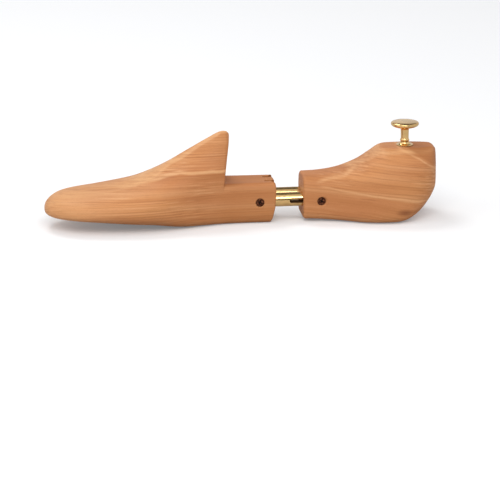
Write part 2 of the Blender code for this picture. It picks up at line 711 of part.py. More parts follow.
def build_rosette(brass):
    """Thin trumpet-shaped ring that stands on the heel's flat top, round the stud."""
    hole = STUD_RADIUS + CLEARANCE
    lip_radius = ROSETTE_RADIUS - ROSETTE_LIP / 2
    profile = [(hole, 0), (ROSETTE_RADIUS - CLEARANCE, 0)]
    profile += [(ROSETTE_RADIUS, ROSETTE_LIP / 2), (lip_radius, ROSETTE_LIP)]
    for step in range(1, ROSETTE_STEPS + 1):
        turn = step / ROSETTE_STEPS * pi / 2
        radius = ROSETTE_NECK_RADIUS + (lip_radius - ROSETTE_NECK_RADIUS) * (1 - sin(turn))
        height = ROSETTE_LIP + (ROSETTE_HEIGHT - ROSETTE_LIP) * (1 - cos(turn))
        profile.append((radius, height))
    profile.append((hole, ROSETTE_HEIGHT))
    place = Matrix.Translation((KNOB_X, 0, HEEL_TOP + CLEARANCE))
    return new_object("knob_rosette", turned(profile, KNOB_SIDES, hollow=True), brass, place)


def build_knob(brass):
    """Turned pull: a bead, a waisted stem and a lens-shaped head, with a blind hole for the stud."""
    base = ROSETTE_HEIGHT + 2 * CLEARANCE
    hole = STUD_RADIUS + CLEARANCE
    hole_end = STUD_IN_KNOB + CLEARANCE
    profile = [(0, hole_end), (hole, hole_end), (hole, base), (KNOB_FOOT_RADIUS, base)]
    profile += [(radius * MM, height * MM) for radius, height in KNOB_OUTLINE]
    place = Matrix.Translation((KNOB_X, 0, HEEL_TOP))
    return new_object("knob", turned(profile, KNOB_SIDES), brass, place)


def build_stud(steel):
    """Double-ended screw that joins the knob to the heel."""
    length = STUD_DEPTH + STUD_IN_KNOB
    profile = (
        (0, 0),
        (STUD_TIP_RADIUS, 0),
        (STUD_RADIUS, STUD_POINT),
        (STUD_RADIUS, length),
        (0, length),
    )
    place = Matrix.Translation((KNOB_X, 0, HEEL_TOP - STUD_DEPTH))
    return new_object("knob_stud", turned(profile, SMALL_SIDES), steel, place)


def main():
    for obj in list(bpy.data.objects):
        bpy.data.objects.remove(obj, do_unlink=True)
    cedar = material("cedar", (0.56, 0.30, 0.15), 0.5, 0)
    brass = material("polished brass", (0.80, 0.58, 0.27), 0.16, 1)
    bronze = material("bronzed steel", (0.13, 0.06, 0.03), 0.4, 1)
    steel = material("spring steel", (0.55, 0.55, 0.56), 0.3, 1)
    build_forepart(cedar)
    build_heel(cedar)
    for side, word in ((-1, "left"), (1, "right")):
        build_tube(f"tube_{word}", side, brass)
        build_plug(f"tube_plug_{word}", side, brass)
        build_spring(f"spring_{word}", side, steel)
        build_seat(f"spring_seat_{word}", side, steel)
    build_screw("hinge_screw", PIVOT_X, -smooth(FOREPART_NEAR, PIVOT_X - TOE_X), bronze)
    build_screw("stop_screw", STOP_SCREW_X, -smooth(HEEL_WIDTH, STOP_SCREW_X - HEEL_FRONT_X), bronze)
    build_rosette(brass)
    build_knob(brass)
    build_stud(steel)


main()
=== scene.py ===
"""Shoe tree: cedar forepart and heel on two sprung brass tubes, with the finish of each piece.

Metres, +Z up, toe towards -X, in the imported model's frame.
"""

from math import cos, exp, pi, radians, sin, tan

import bmesh
import bpy
from mathutils import Matrix, Vector

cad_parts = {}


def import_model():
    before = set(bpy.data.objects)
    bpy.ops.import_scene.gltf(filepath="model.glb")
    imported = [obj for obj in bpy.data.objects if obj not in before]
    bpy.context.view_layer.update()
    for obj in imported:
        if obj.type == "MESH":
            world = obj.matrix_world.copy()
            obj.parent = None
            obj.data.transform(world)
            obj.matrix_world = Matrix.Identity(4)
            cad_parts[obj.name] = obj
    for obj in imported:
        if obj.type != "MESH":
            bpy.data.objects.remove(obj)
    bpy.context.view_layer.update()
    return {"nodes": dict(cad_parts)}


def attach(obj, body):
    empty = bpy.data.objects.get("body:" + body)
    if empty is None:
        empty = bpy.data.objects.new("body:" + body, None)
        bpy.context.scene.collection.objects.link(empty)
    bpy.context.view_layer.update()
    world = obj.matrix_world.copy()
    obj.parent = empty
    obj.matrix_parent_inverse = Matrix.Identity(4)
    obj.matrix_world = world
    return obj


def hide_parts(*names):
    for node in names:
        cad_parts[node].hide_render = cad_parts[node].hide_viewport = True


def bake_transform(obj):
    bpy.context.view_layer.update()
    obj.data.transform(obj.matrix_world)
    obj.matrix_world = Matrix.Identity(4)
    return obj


MM = 0.001

# Driving dimensions
FOREPART_LENGTH = 162.4 * MM
GAP_LENGTH = 19.4 * MM
HEEL_LENGTH = 95.8 * MM
TUBE_RADIUS = 5.0 * MM
TUBE_WALL = 0.9 * MM
TUBE_PITCH = 14.4 * MM
TUBE_HEIGHT = 15.6 * MM
LARGEST_TILT = radians(38)
CLEARANCE = 0.3 * MM

# Places along the length, worked out from the driving dimensions
TOTAL_LENGTH = FOREPART_LENGTH + GAP_LENGTH + HEEL_LENGTH
TOE_X = -TOTAL_LENGTH / 2
FOREPART_END_X = TOE_X + FOREPART_LENGTH
PIVOT_X = FOREPART_END_X - 11.5 * MM
HEEL_FRONT_X = FOREPART_END_X + GAP_LENGTH
STOP_SCREW_X = HEEL_FRONT_X + 12.5 * MM
HEEL_END_X = HEEL_FRONT_X + HEEL_LENGTH
KNOB_X = HEEL_END_X - 21.9 * MM

# Forepart
SOLE_CUT = 0.45 * MM
TOE_TIP_HEIGHT = 13.2 * MM
TOE_NOSE_LENGTH = 34.0 * MM
TOE_NOSE_HEIGHT_LENGTH = 13.0 * MM
TOE_PLAN_POWER = 2.45
TOE_SIDE_POWER = 2.8
NOTCH_STATION = 124.8 * MM
NOTCH_LEAN = 0.165
LEAN_START_STATION = 90.0 * MM
BLOCK_TOP = 29.2 * MM
BLOCK_CROWN = 29.6 * MM
BLOCK_EDGE = 1.4 * MM
BLOCK_SLANT = 3.0 * MM
BLOCK_SLANT_TOP = 14.0 * MM
BLOCK_SLANT_STATION = 147.0 * MM
INSTEP_EDGE = 2.6 * MM
INSTEP_EDGE_RISE = 12.0 * MM
SHOULDER_SPREAD = 3.4 * MM

# Heel
HEEL_NOSE_LENGTH = 30.0 * MM
HEEL_PLAN_POWER = 2.35
HEEL_TOP = 50.7 * MM
HEEL_TOP_EDGE = 4.2 * MM
HEEL_FRONT_EDGE = 1.8 * MM

# Tubes and what is in the bores behind them
BORE_RADIUS = TUBE_RADIUS + CLEARANCE
TONGUE_THICKNESS = 2.4 * MM
TONGUE_INSET = 1.6 * MM
TONGUE_POWER = 5
TONGUE_TIP_STEPS = 6
TONGUE_END = 6.5 * MM
ROUND_START = 10.5 * MM
HOLLOW_START = 12.0 * MM
SLOT_HEIGHT = 3.7 * MM
SLOT_AHEAD = 22.1 * MM
SLOT_BEHIND = 2.1 * MM
TUBE_BEHIND_STOP = 8.6 * MM
PLUG_FLANGE = 1.2 * MM
SPRING_LENGTH = 34.0 * MM
SPRING_WIRE_RADIUS = 0.55 * MM
SPRING_COIL_RADIUS = 3.85 * MM
SPRING_TURNS = 13
CLOSED_PITCH = 1.15
SEAT_THICKNESS = 1.5 * MM
TUBE_END_X = STOP_SCREW_X + TUBE_BEHIND_STOP
SPRING_START_X = TUBE_END_X + CLEARANCE + PLUG_FLANGE + CLEARANCE
SEAT_X = SPRING_START_X + SPRING_LENGTH + CLEARANCE
BORE_END_X = SEAT_X + SEAT_THICKNESS + CLEARANCE

# Kerfs in the forepart, in which the tubes' flattened ends turn
KERF_WIDTH = TONGUE_THICKNESS + 2 * CLEARANCE + 0.2 * MM
KERF_RADIUS = TUBE_RADIUS + 0.6 * MM
KERF_ANGLE = radians(50)
KERF_STEPS = 8
KERF_OFFSET = TUBE_PITCH / 2 - TONGUE_INSET
RELIEF_START = 6.2 * MM
RELIEF_END = 22.0 * MM
SPARE_TILT = radians(0.5)

# Screws
SCREW_RADIUS = 1.5 * MM
SCREW_HEAD_RADIUS = 2.8 * MM
SCREW_HEAD_HEIGHT = 1.9 * MM
SCREW_RECESS = 0.7 * MM
SCREW_LENGTH = 26.0 * MM
SCREW_RIM = 0.3 * MM
SCREW_RIM_BEVEL = 0.3
SCREW_SHANK = 15.0 * MM
THREAD_PITCH = 1.3 * MM
THREAD_ROOT_RADIUS = 1.0 * MM
THREAD_ROOT_SHARES = (0.3, 0.6)
THREAD_TAPER_TURNS = 4
HOLE_TAPER = 0.4 * MM
SCREW_HOLE_RADIUS = SCREW_RADIUS + CLEARANCE
HEAD_HOLE_RADIUS = SCREW_HEAD_RADIUS + CLEARANCE
MOUTH_EASING = 0.35 * MM
CROSS_LENGTH = 3.3 * MM
CROSS_WIDTH = 0.8 * MM
CROSS_DEPTH = 1.2 * MM
CROSS_TURN = radians(25)
RECESS_MARGIN = 0.1 * MM

# Knob
ROSETTE_RADIUS = 6.0 * MM
ROSETTE_HEIGHT = 2.4 * MM
ROSETTE_NECK_RADIUS = 3.2 * MM
ROSETTE_LIP = 0.4 * MM
KNOB_FOOT_RADIUS = 2.8 * MM
STUD_RADIUS = 1.5 * MM
STUD_DEPTH = 18.0 * MM
STUD_IN_KNOB = 8.0 * MM

# Outside of the knob as (radius, height above the heel's top) in millimetres, from its foot up
KNOB_OUTLINE = (
    (3.15, 3.3), (3.3, 3.9), (3.15, 4.6), (2.8, 5.0), (2.8, 5.5), (2.85, 8.4),
    (2.95, 11.3), (3.25, 12.0), (4.2, 12.5), (6.6, 13.1), (8.8, 13.9), (9.8, 14.7),
    (10.0, 15.6), (9.85, 16.3), (9.2, 16.85), (7.2, 17.2), (3.8, 17.35), (0, 17.4),
)

# Steps and tolerances of the meshes
LOWER_STEPS = 14
UPPER_STEPS = 26
RING_PITCH = 1.6 * MM
TOE_STEPS = 26
BACK_STEPS = 26
EDGE_STEPS = 6
FLATTENING_STEPS = 12
SLOT_STEPS = 16
ROSETTE_STEPS = 18
ROUNDING_PASSES = 2
CORNER_CUT = 0.25
ROUND_SIDES = 72
SMALL_SIDES = 32
KNOB_SIDES = 96
COIL_STEPS_PER_TURN = 24
WIRE_SIDES = 10
SHARP_ANGLE = radians(32)
END_RING = 0.08 * MM
MERGE_DISTANCE = 1e-6
OVERSHOOT = 3.0 * MM

# Outlines as (station, value) in millimetres. A station is a distance from the toe tip.
FOREPART_MIDDLE = ((0, -5.0), (40, -3.0), (80, -0.8), (111, 0), (163, 0))
FOREPART_NEAR = (
    (0, 25.2), (20, 29.4), (40, 32.4), (61, 34.9), (79, 33.2),
    (97, 27.2), (111, 21.7), (125, 17.2), (139, 15.4), (163, 14.8),
)
FOREPART_FAR = (
    (0, 25.2), (20, 29.4), (41, 33.4), (65, 37.3), (83, 37.3),
    (99, 31.4), (112, 23.3), (125, 17.2), (139, 15.4), (163, 14.8),
)
FOREPART_SOLE = (
    (0, 9.8), (24, 7.8), (44, 5.6), (65, 3.3), (80, 1.8), (92, 0.5), (103, 0), (163, 0),
)
FOREPART_WAIST = ((0, 13.6), (40, 14.5), (75, 16.5), (98, 18.5), (125, 20), (163, 20))
FOREPART_TOP = (
    (0, 20.6), (14, 25.3), (38, 28.2), (63, 32.4), (77, 37.9),
    (89, 44.6), (102, 53.2), (112, 60.2), (119, 64.6), (125, 64.2),
)
FOREPART_LOWER_POWER = ((0, 2.3), (60, 2.4), (78, 2.6), (98, 3.7), (125, 4.5), (163, 5.0))
FOREPART_SIDE_POWER = ((0, 2.2), (50, 2.1), (80, 2.2), (104, 2.5), (125, 2.7))
FOREPART_RIDGE_POWER = ((0, 2.2), (50, 2.0), (80, 1.55), (104, 1.35), (125, 1.35))
BLOCK_POWER = 5.0
SHOULDER_LINE = ((64, 30), (80, 36), (97, 39), (128, 39.4))
SHOULDER_SWELL = ((60, 0), (80, 0.3), (97, 0.6), (128, 0.6))
INSTEP_HOLLOW = ((70, 0), (90, 0.06), (108, 0.17), (125, 0.17))

# Outlines of the heel, as above. A station is a distance from the heel's front face.
HEEL_WIDTH = ((0, 15.5), (12, 16.2), (26, 19.8), (42, 26.2), (56, 29.4), (70, 30.0), (96, 30.0))
HEEL_SOLE = (
    (0, 2.1), (14, 1.5), (32, 0.4), (44, 0), (65, 0), (73, 1.3), (81, 5.6), (89, 13.4), (96, 22.4),
)
HEEL_WAIST = ((0, 17), (30, 18), (60, 20), (80, 23), (96, 31))
HEEL_CROWN = (
    (0, 32.5), (12, 32.8), (23, 34.1), (32, 36.4), (42, 40.5),
    (50, 45.8), (57, 50.6), (64, 51.6), (96, 51.5),
)
HEEL_LOWER_POWER = ((0, 5.5), (30, 5.2), (50, 6.0), (66, 5.4), (80, 3.8), (96, 2.8))
HEEL_UPPER_POWER = ((0, 4.0), (12, 3.8), (25, 3.3), (42, 2.7), (60, 2.4), (96, 2.4))

# Cedar. A noise is (cells per millimetre along X, Y and Z), detail, roughness.
SWAY_NOISE = ((0.008, 0.03, 0.03), 1.0)
LIFT_NOISE = ((0.010, 0.03, 0.02), 1.0)
RAGGED_NOISE = ((0.05, 0.3, 0.9), 2.0)
LAYER_NOISE = ((0.004, 0.012, 0.14), 1.0)
ZONE_NOISE = ((0.012, 0.03, 0.035), 1.0)
FIBRE_NOISE = ((0.007, 0.12, 0.95), 3.0, 0.6)
DASH_NOISE = ((0.020, 0.12, 1.1), 2.0, 0.6)
HAIR_NOISE = ((0.08, 4.0, 4.5), 2.0)
WAVER_NOISE = ((0.05, 0.05, 0.05), 1.0)
BUSY_NOISE = ((0.02, 0.05, 0.07), 1.0)

# Ranges as (one end, other end), then what they become if not 0 and 1
LATE_WOOD_RISE = (0.45, 0.84)
LATE_WOOD_FALL = (0.88, 1.0)
YEAR_STRENGTH = (0.2, 1.0, 0.12, 1.0)
ZONE_RANGE = (0.36, 0.66)
BUSY_RANGE = (0.38, 0.60, 0.35, 1.0)
PALE_LAYER = (0.50, 0.72, 0.0, 0.30)
DEEP_LAYER = (0.50, 0.30, 0.0, 0.35)
DARK_FIBRE = (0.48, 0.66, 0.0, 0.38)
PALE_FIBRE = (0.48, 0.32, 0.0, 0.38)
DARK_DASH = (0.60, 0.72, 0.0, 0.30)
DARK_HAIR = (0.45, 0.75, 0.0, 0.20)
BAND_WAVER = (0.3, 0.7, -0.4, 0.4)
BAND_FIBRES = (0.65, 0.40, 0.5, 1.0)
CEDAR_ROUGHNESS = (0.3, 0.7, 0.48, 0.62)

CEDAR_SPECULAR = 0.22
RING_DRIFT = 1.1
RING_RAGGEDNESS = 0.5
RING_SHARE = 0.50
FIBRE_MIDDLE = 0.48
KNOT_STRETCH = (0.45, 1, 1)
KNOT_CORE = (0.28, 0.05)
KNOT_SHARE = 0.75
HAIR_RELIEF = 0.7
RING_RELIEF = 0.5
CEDAR_BUMP = (0.05 * MM, 0.6)
PLACE_SEED = (1.0, 0.7, -1.3)
GRAIN_SEED = (3.1, 1.0, 1.7)
CEDAR_YELLOW = (0.575, 0.253, 0.095, 1)
CEDAR_PINK = (0.505, 0.206, 0.078, 1)
CEDAR_PALE_AND_HIGHLIGHT = (0.72, 0.40, 0.19, 1)
CEDAR_DEEP_AND_SHADE = (0.40, 0.150, 0.048, 1)
CEDAR_LATE = (0.35, 0.125, 0.042, 1)
CEDAR_DARK = (0.26, 0.085, 0.028, 1)
CEDAR_KNOT = (0.16, 0.045, 0.018, 1)

# The wood of each block, with painted highlights and painted shade in some of its bands, as
# cedar_material takes it after its name
FRONT_WOOD_AND_PAINTED_LIGHT = (
    (-60, -230),
    (0.0, 0.015),
    1.8,
    ((-46, -37, 4, 13, 3),),
    (
        (0.0, (), (99, 1), (-60, -135), CEDAR_PALE_AND_HIGHLIGHT, 0.45),
        (0.0, (), (99, 1), (-25, -5), CEDAR_DEEP_AND_SHADE, 0.38),
        # Painted shade over the block's top face, behind the instep
        (29.2, (), (1.2, 0.8), (-14, -8), CEDAR_DEEP_AND_SHADE, 0.45),
        # Painted shade over the lower part of the forepart, darker towards the floor
        (0.0, (), (14, 10), (-100, -60), CEDAR_DEEP_AND_SHADE, 0.35),
        # Pale band along the shoulder line: partly pale figure, partly a painted highlight
        (40.0, ((-45, 0.26),), (1.6, 1.3), (-86, -62), CEDAR_PALE_AND_HIGHLIGHT, 0.80),
        # Painted highlight along the instep's ridge, just under its top outline
        (64.8, ((-14, 0.58), (-62, -0.18), (-76, -0.23)), (1.5, 1.1), (-105, -70), CEDAR_PALE_AND_HIGHLIGHT, 0.70),
    ),
    0,
)
HEEL_WOOD_AND_PAINTED_LIGHT = (
    (-60, -220),
    (0.0, -0.12),
    2.0,
    ((112, -28, 9, 13, 3),),
    (
        # Painted highlight along the near edge of the heel's top
        (49.0, ((98, 0.58), (72, -0.31)), (1.8, 1.8), (50, 58), CEDAR_PALE_AND_HIGHLIGHT, 0.60),
        (15.8, ((130, -0.134),), (1.2, 1.2), (50, 60), CEDAR_PALE_AND_HIGHLIGHT, 0.55),
        (36.0, ((138, -0.69), (124, 0.30)), (1.2, 1.2), (106, 112), CEDAR_PALE_AND_HIGHLIGHT, 0.60),
        (50.0, ((138, -0.69), (124, 0.30)), (13.0, 2.0), (108, 113), CEDAR_DEEP_AND_SHADE, 0.75),
    ),
    37,
)

# Metals, with noises and ranges as for cedar. A bump is (distance, strength).
BRASS_SCRATCH = ((0.5, 6.0, 6.0), 2.0)
BRASS_CLOUD = ((0.12, 0.12, 0.12), 2.0)
BRASS_TARNISH = (0.35, 0.75)
BRASS_ROUGHNESS = (0.3, 0.75, 0.13, 0.22)
BRASS_BUMP = (0.004 * MM, 0.5)
BRASS_BRIGHT = (0.84, 0.56, 0.24, 1)
BRASS_DULL = (0.66, 0.43, 0.18, 1)
BRASS_LACQUER = 0.15
# Dark brass inside the tubes: unpolished metal, darkened further as painted shade
BRASS_INSIDE_DULL_AND_SHADE = (0.21, 0.095, 0.03, 1)
# Near-black inside the screws' cross recesses: painted shade
BRONZE_RECESS_SHADE = (0.020, 0.006, 0.003, 1)
STAIN_NOISE = ((0.5, 0.8, 0.8), 3.0)
STAIN_DARKNESS = 0.6
STAIN_ROUGHNESS = (0.3, 0.7, 0.5, 0.7)
STAIN_METALLIC = 0.6

# Bronzed and drawn steel as (name, noise, range, (tint, worn tint), metallic, roughness, bump)
BRONZED = (
    "bronzed_steel",
    ((0.9, 0.9, 0.9), 3.0),
    (0.42, 0.68),
    ((0.060, 0.016, 0.007, 1), (0.30, 0.12, 0.06, 1)),
    0.85,
    (0.3, 0.7, 0.42, 0.28),
    (0.02 * MM, 0.4),
)
DRAWN = (
    "spring_steel",
    ((2.0, 2.0, 9.0), 2.0),
    (0.3, 0.7),
    ((0.62, 0.62, 0.63, 1), (0.46, 0.46, 0.48, 1)),
    1.0,
    (0.3, 0.7, 0.22, 0.38),
    None,
)

# Studio, with angles in degrees. An edge is the range of X, Y or Z in which a wall fades.
FLOOR_GRAIN = ((0.8, 0.8, 0.8), 3.0)
FLOOR_LIGHT = (0.760, 0.768, 0.778, 1)
FLOOR_GREY = (0.740, 0.748, 0.758, 1)
FLOOR_GLOW = 0.24
FLOOR_BOUNCE = (0.62, 0.62, 0.62, 1)
FLOOR_ROUGHNESS = 0.9
FLOOR_SPECULAR = 0.1
FLOOR_SIZE = 12.0
FLOOR_GAP = 0.05 * MM
CAMERA_SENSOR = 36.0
CAMERA_DISTANCE = 2.2
CAMERA_FIELD = 0.355
CAMERA_NEAREST = 0.05
CAMERA_VIEW = (-7.0, 16.0)
CAMERA_TARGET = (0.0067, 0.0, -0.0229)
CEILING_EDGE = (0.56, 0.68)
CEILING_BACK = (0.06, -0.06)
SIDE_EDGE = (0.35, 0.66)
BACKDROP_EDGE = (0.52, 0.40)
WALL_DIM = (0.17, 0.165, 0.16, 1)
WALL_BRIGHT = (0.75, 0.75, 0.76, 1)
CEILING_BRIGHT = (0.88, 0.88, 0.90, 1)
LIGHT_TARGET = (0, 0, 0.02)

# Each light as (name, azimuth, elevation, distance, (width, height), watts, colour)
LIGHTS = (
    ("key", -6, 39, 1.5, (1.0, 0.7), 11.6, (1.0, 0.985, 0.96)),
    ("side", -70, 38, 1.6, (0.8, 0.8), 2.5, (1.0, 0.99, 0.97)),
    ("back", -150, 60, 1.5, (0.6, 0.6), 7, (1.0, 1.0, 1.0)),
)


def smooth(points, station):
    """Value in metres at a station in metres, on a cubic through the points with chord slopes."""
    at = station / MM
    if at <= points[0][0]:
        return points[0][1] * MM
    if at >= points[-1][0]:
        return points[-1][1] * MM
    spans = zip((points[0], *points), (*points[1:], points[-1]))
    slopes = [(after[1] - before[1]) / (after[0] - before[0]) for before, after in spans]
    i = max(k for k in range(len(points) - 1) if points[k][0] <= at)
    (start, low), (end, high) = points[i], points[i + 1]
    width = end - start
    t = (at - start) / width
    value = (
        (2 * t**3 - 3 * t**2 + 1) * low
        + (t**3 - 2 * t**2 + t) * width * slopes[i]
        + (3 * t**2 - 2 * t**3) * high
        + (t**3 - t**2) * width * slopes[i + 1]
    )
    return value * MM


def nose(distance, length, power):
    """Share of full size at a distance from a rounded end: 0 at the end, 1 past its length."""
    left = 1 - min(max(distance / length, 0), 1)
    return (1 - left**power) ** (1 / power)


def quarter(step, steps, power):
    """Point on a quarter of a superellipse of radius 1, from its side at step 0 to its top."""
    angle = step / steps * pi / 2
    return cos(angle) ** (2 / power) if step < steps else 0.0, sin(angle) ** (2 / power)


def section(x, middle, near, far, sole, waist, crown, powers, floor, ceiling):
    """Closed ring of points across the length, from mid sole up the near side and over the top.

    powers are the superellipse powers of the lower half, of the side above it and of the ridge.
    """
    lower_power, side_power, ridge_power = powers
    upper = []
    for step in range(UPPER_STEPS + 1):
        power = side_power + (ridge_power - side_power) * step / UPPER_STEPS
        upper.append(quarter(step, UPPER_STEPS, power))
    lower = [quarter(step, LOWER_STEPS, lower_power) for step in range(LOWER_STEPS + 1)]
    side = [(across, waist - (waist - sole) * down) for across, down in reversed(lower)]
    side += [(across, waist + (crown - waist) * up) for across, up in upper[1:]]
    ring = [(middle - near * across, z) for across, z in side]
    ring += [(middle + far * across, z) for across, z in reversed(side[1:-1])]
    return [Vector((x, y, min(max(z, floor), ceiling))) for y, z in ring]


def forepart_section(station, low_block=False):
    """Ring of the forepart at a station, with its toe rounded in plan and in height."""
    wide = nose(station, TOE_NOSE_LENGTH, TOE_PLAN_POWER)
    tall = nose(station, TOE_NOSE_HEIGHT_LENGTH, TOE_SIDE_POWER)
    sole = max(smooth(FOREPART_SOLE, station), 0)
    waist = TOE_TIP_HEIGHT + (smooth(FOREPART_WAIST, station) - TOE_TIP_HEIGHT) * tall
    lower_power = smooth(FOREPART_LOWER_POWER, station) / MM
    if low_block:
        crown, ceiling = BLOCK_CROWN, BLOCK_TOP
        powers = (lower_power, BLOCK_POWER, BLOCK_POWER)
    else:
        crown = ceiling = smooth(FOREPART_TOP, station)
        side_power = smooth(FOREPART_SIDE_POWER, station) / MM
        powers = (lower_power, side_power, smooth(FOREPART_RIDGE_POWER, station) / MM)
    return section(
        TOE_X + station,
        smooth(FOREPART_MIDDLE, station),
        smooth(FOREPART_NEAR, station) * wide,
        smooth(FOREPART_FAR, station) * wide,
        waist - (waist - sole + SOLE_CUT) * tall,
        waist,
        waist + (crown - waist) * tall,
        powers,
        waist - (waist - sole) * tall,
        ceiling,
    )


def leaned(ring, station):
    """Tall ring with its upper part leaning towards the heel, more so near the notch."""
    share = min(max((station - LEAN_START_STATION) / (NOTCH_STATION - LEAN_START_STATION), 0), 1)
    lean = NOTCH_LEAN * share * share * (3 - 2 * share)
    return [point + Vector((lean * max(point.z - BLOCK_TOP, 0), 0, 0)) for point in ring]


def shaped_instep(ring, station):
    """Ring whose sides swell a little along the shoulder line and are flatter above it."""
    line = smooth(SHOULDER_LINE, station)
    swell = smooth(SHOULDER_SWELL, station)
    hollow = smooth(INSTEP_HOLLOW, station) / MM
    crown = max(point.z for point in ring)
    shaped = []
    for point in ring:
        share = min(max((point.z - line) / (crown - line), 0), 1)
        out = swell * exp(-(((point.z - line) / SHOULDER_SPREAD) ** 2))
        narrow = 1 - hollow * sin(pi * share)
        shaped.append(Vector((point.x, point.y * narrow + (out if point.y > 0 else -out), point.z)))
    return shaped


def slanted(ring, station):
    """Ring of the low block whose lower part is drawn forward, more so towards the back end."""
    along = min((station - BLOCK_SLANT_STATION) / (FOREPART_LENGTH - BLOCK_SLANT_STATION), 1)
    shift = BLOCK_SLANT * max(along, 0)
    below = [max(1 - point.z / BLOCK_SLANT_TOP, 0) for point in ring]
    return [Vector((p.x - shift * low, p.y, p.z)) for p, low in zip(ring, below)]


def eased_instep(ring, turn):
    """Ring of the instep's rounded back edge. The rounding fades out down at the block's top."""
    eased = []
    middle = Vector((0, 0, ring[LOWER_STEPS].z))
    for point in ring:
        share = min(max((point.z - BLOCK_TOP) / INSTEP_EDGE_RISE, 0), 1)
        radius = INSTEP_EDGE * share
        inward = Vector((0, middle.y - point.y, middle.z - point.z))
        if inward.length > 0:
            inward.normalize()
        back = Vector((-radius * (1 - sin(turn)), 0, 0))
        eased.append(point + back + inward * radius * (1 - cos(turn)))
    return eased


def shrunk(ring, inset, x):
    """Ring moved to x and drawn in by an inset on every side."""
    low = min(point.z for point in ring)
    high = max(point.z for point in ring)
    half = (max(point.y for point in ring) - min(point.y for point in ring)) / 2
    middle = (low + high) / 2
    across = (half - inset) / half
    upright = ((high - low) / 2 - inset) / ((high - low) / 2)
    return [Vector((x, point.y * across, middle + (point.z - middle) * upright)) for point in ring]


def heel_section(station):
    """Ring of the heel at a station. Its back is rounded in plan, and the top's back edge too."""
    wide = nose(HEEL_LENGTH - station, HEEL_NOSE_LENGTH, HEEL_PLAN_POWER)
    edge = nose(HEEL_LENGTH - station, HEEL_TOP_EDGE, 2)
    width = smooth(HEEL_WIDTH, station) * wide
    sole = max(smooth(HEEL_SOLE, station), 0)
    drop = HEEL_TOP_EDGE * (1 - edge)
    return section(
        HEEL_FRONT_X + station,
        0,
        width,
        width,
        sole - SOLE_CUT,
        smooth(HEEL_WAIST, station),
        smooth(HEEL_CROWN, station) - drop,
        [smooth(HEEL_LOWER_POWER, station) / MM] + [smooth(HEEL_UPPER_POWER, station) / MM] * 2,
        sole,
        HEEL_TOP - drop,
    )


def loft(rings):
    """Closed mesh through rings of equally many points, with both ends capped."""
    bm = bmesh.new()
    rows = [[bm.verts.new(point) for point in ring] for ring in rings]
    count = len(rings[0])
    for low, high in zip(rows, rows[1:]):
        for k in range(count):
            following = (k + 1) % count
            bm.faces.new((low[k], low[following], high[following], high[k]))
    bm.faces.new(reversed(rows[0]))
    bm.faces.new(rows[-1])
    bmesh.ops.remove_doubles(bm, verts=bm.verts, dist=MERGE_DISTANCE)
    bmesh.ops.recalc_face_normals(bm, faces=bm.faces)
    return bm


def turned(profile, sides, hollow=False):
    """Closed solid of revolution about Z, from (radius, height) points.

    The profile starts and ends on the axis, or is the closed outline of a ring if hollow.
    """
    bm = bmesh.new()
    rows = []
    for radius, height in profile:
        if radius == 0:
            rows.append([bm.verts.new((0, 0, height))])
            continue
        angles = (2 * pi * k / sides for k in range(sides))
        rows.append([bm.verts.new((radius * cos(a), radius * sin(a), height)) for a in angles])
    if hollow:
        rows.append(rows[0])
    for low, high in zip(rows, rows[1:]):
        for k in range(sides):
            corners = [low[k % len(low)], low[(k + 1) % sides % len(low)]]
            corners += [high[(k + 1) % sides % len(high)], high[k % len(high)]]
            bm.faces.new(list(dict.fromkeys(corners)))
    bmesh.ops.recalc_face_normals(bm, faces=bm.faces)
    return bm


def cylinder(radius, length, sides=ROUND_SIDES):
    return turned(((0, 0), (radius, 0), (radius, length), (0, length)), sides)


def box(low, high):
    bm = bmesh.new()
    bmesh.ops.create_cube(bm, size=1)
    bmesh.ops.scale(bm, vec=Vector(high) - Vector(low), verts=bm.verts)
    bmesh.ops.translate(bm, vec=(Vector(low) + Vector(high)) / 2, verts=bm.verts)
    return bm


def prism(outline, low_y, high_y):
    """Solid between two planes across Y, from an outline of (x, z) points."""
    bm = bmesh.new()
    near = [bm.verts.new((x, low_y, z)) for x, z in outline]
    far = [bm.verts.new((x, high_y, z)) for x, z in outline]
    bm.faces.new(near)
    bm.faces.new(reversed(far))
    for k in range(len(outline)):
        following = (k + 1) % len(outline)
        bm.faces.new((near[k], far[k], far[following], near[following]))
    bmesh.ops.recalc_face_normals(bm, faces=bm.faces)
    return bm


def new_object(name, bm, place=Matrix()):
    mesh = bpy.data.meshes.new(name)
    bm.to_mesh(mesh)
    bm.free()
    obj = bpy.data.objects.new(name, mesh)
    bpy.context.collection.objects.link(obj)
    obj.matrix_world = place
    return obj


def cut(target, bm, place=Matrix()):
    """Adds a Boolean that cuts a closed bmesh from the target."""
    cutter = new_object(f"{target.name}_cutter_{len(target.modifiers)}", bm, place)
    modifier = target.modifiers.new("Cut", "BOOLEAN")
    modifier.operation = "DIFFERENCE"
    modifier.solver = "EXACT"
    modifier.object = cutter


def finished(obj, finish, slot, body, *nodes):
    """Applies the cuts, smooths the faces between sharp edges, and puts the piece in the frame."""
    bpy.context.view_layer.update()
    cutters = [modifier.object for modifier in obj.modifiers if modifier.type == "BOOLEAN"]
    mesh = bpy.data.meshes.new_from_object(obj.evaluated_get(bpy.context.evaluated_depsgraph_get()))
    mesh.transform(obj.matrix_world)
    obj.modifiers.clear()
    obj.data = mesh
    obj.matrix_world = Matrix()
    for cutter in cutters:
        bpy.data.objects.remove(cutter, do_unlink=True)
    mesh.shade_smooth()
    mesh.set_sharp_from_angle(angle=SHARP_ANGLE)
    mesh.materials.clear()
    mesh.materials.append(finish)
    if body:
        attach(obj, body)
    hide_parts(*nodes)


def shade_inside(obj, finish, is_inside):
    """Gives the faces whose middle is inside a hollow a darker finish of their own, as painted
    shade.
    """
    obj.data.materials.append(finish)
    for face in obj.data.polygons:
        if is_inside(face.center):
            face.material_index = 1


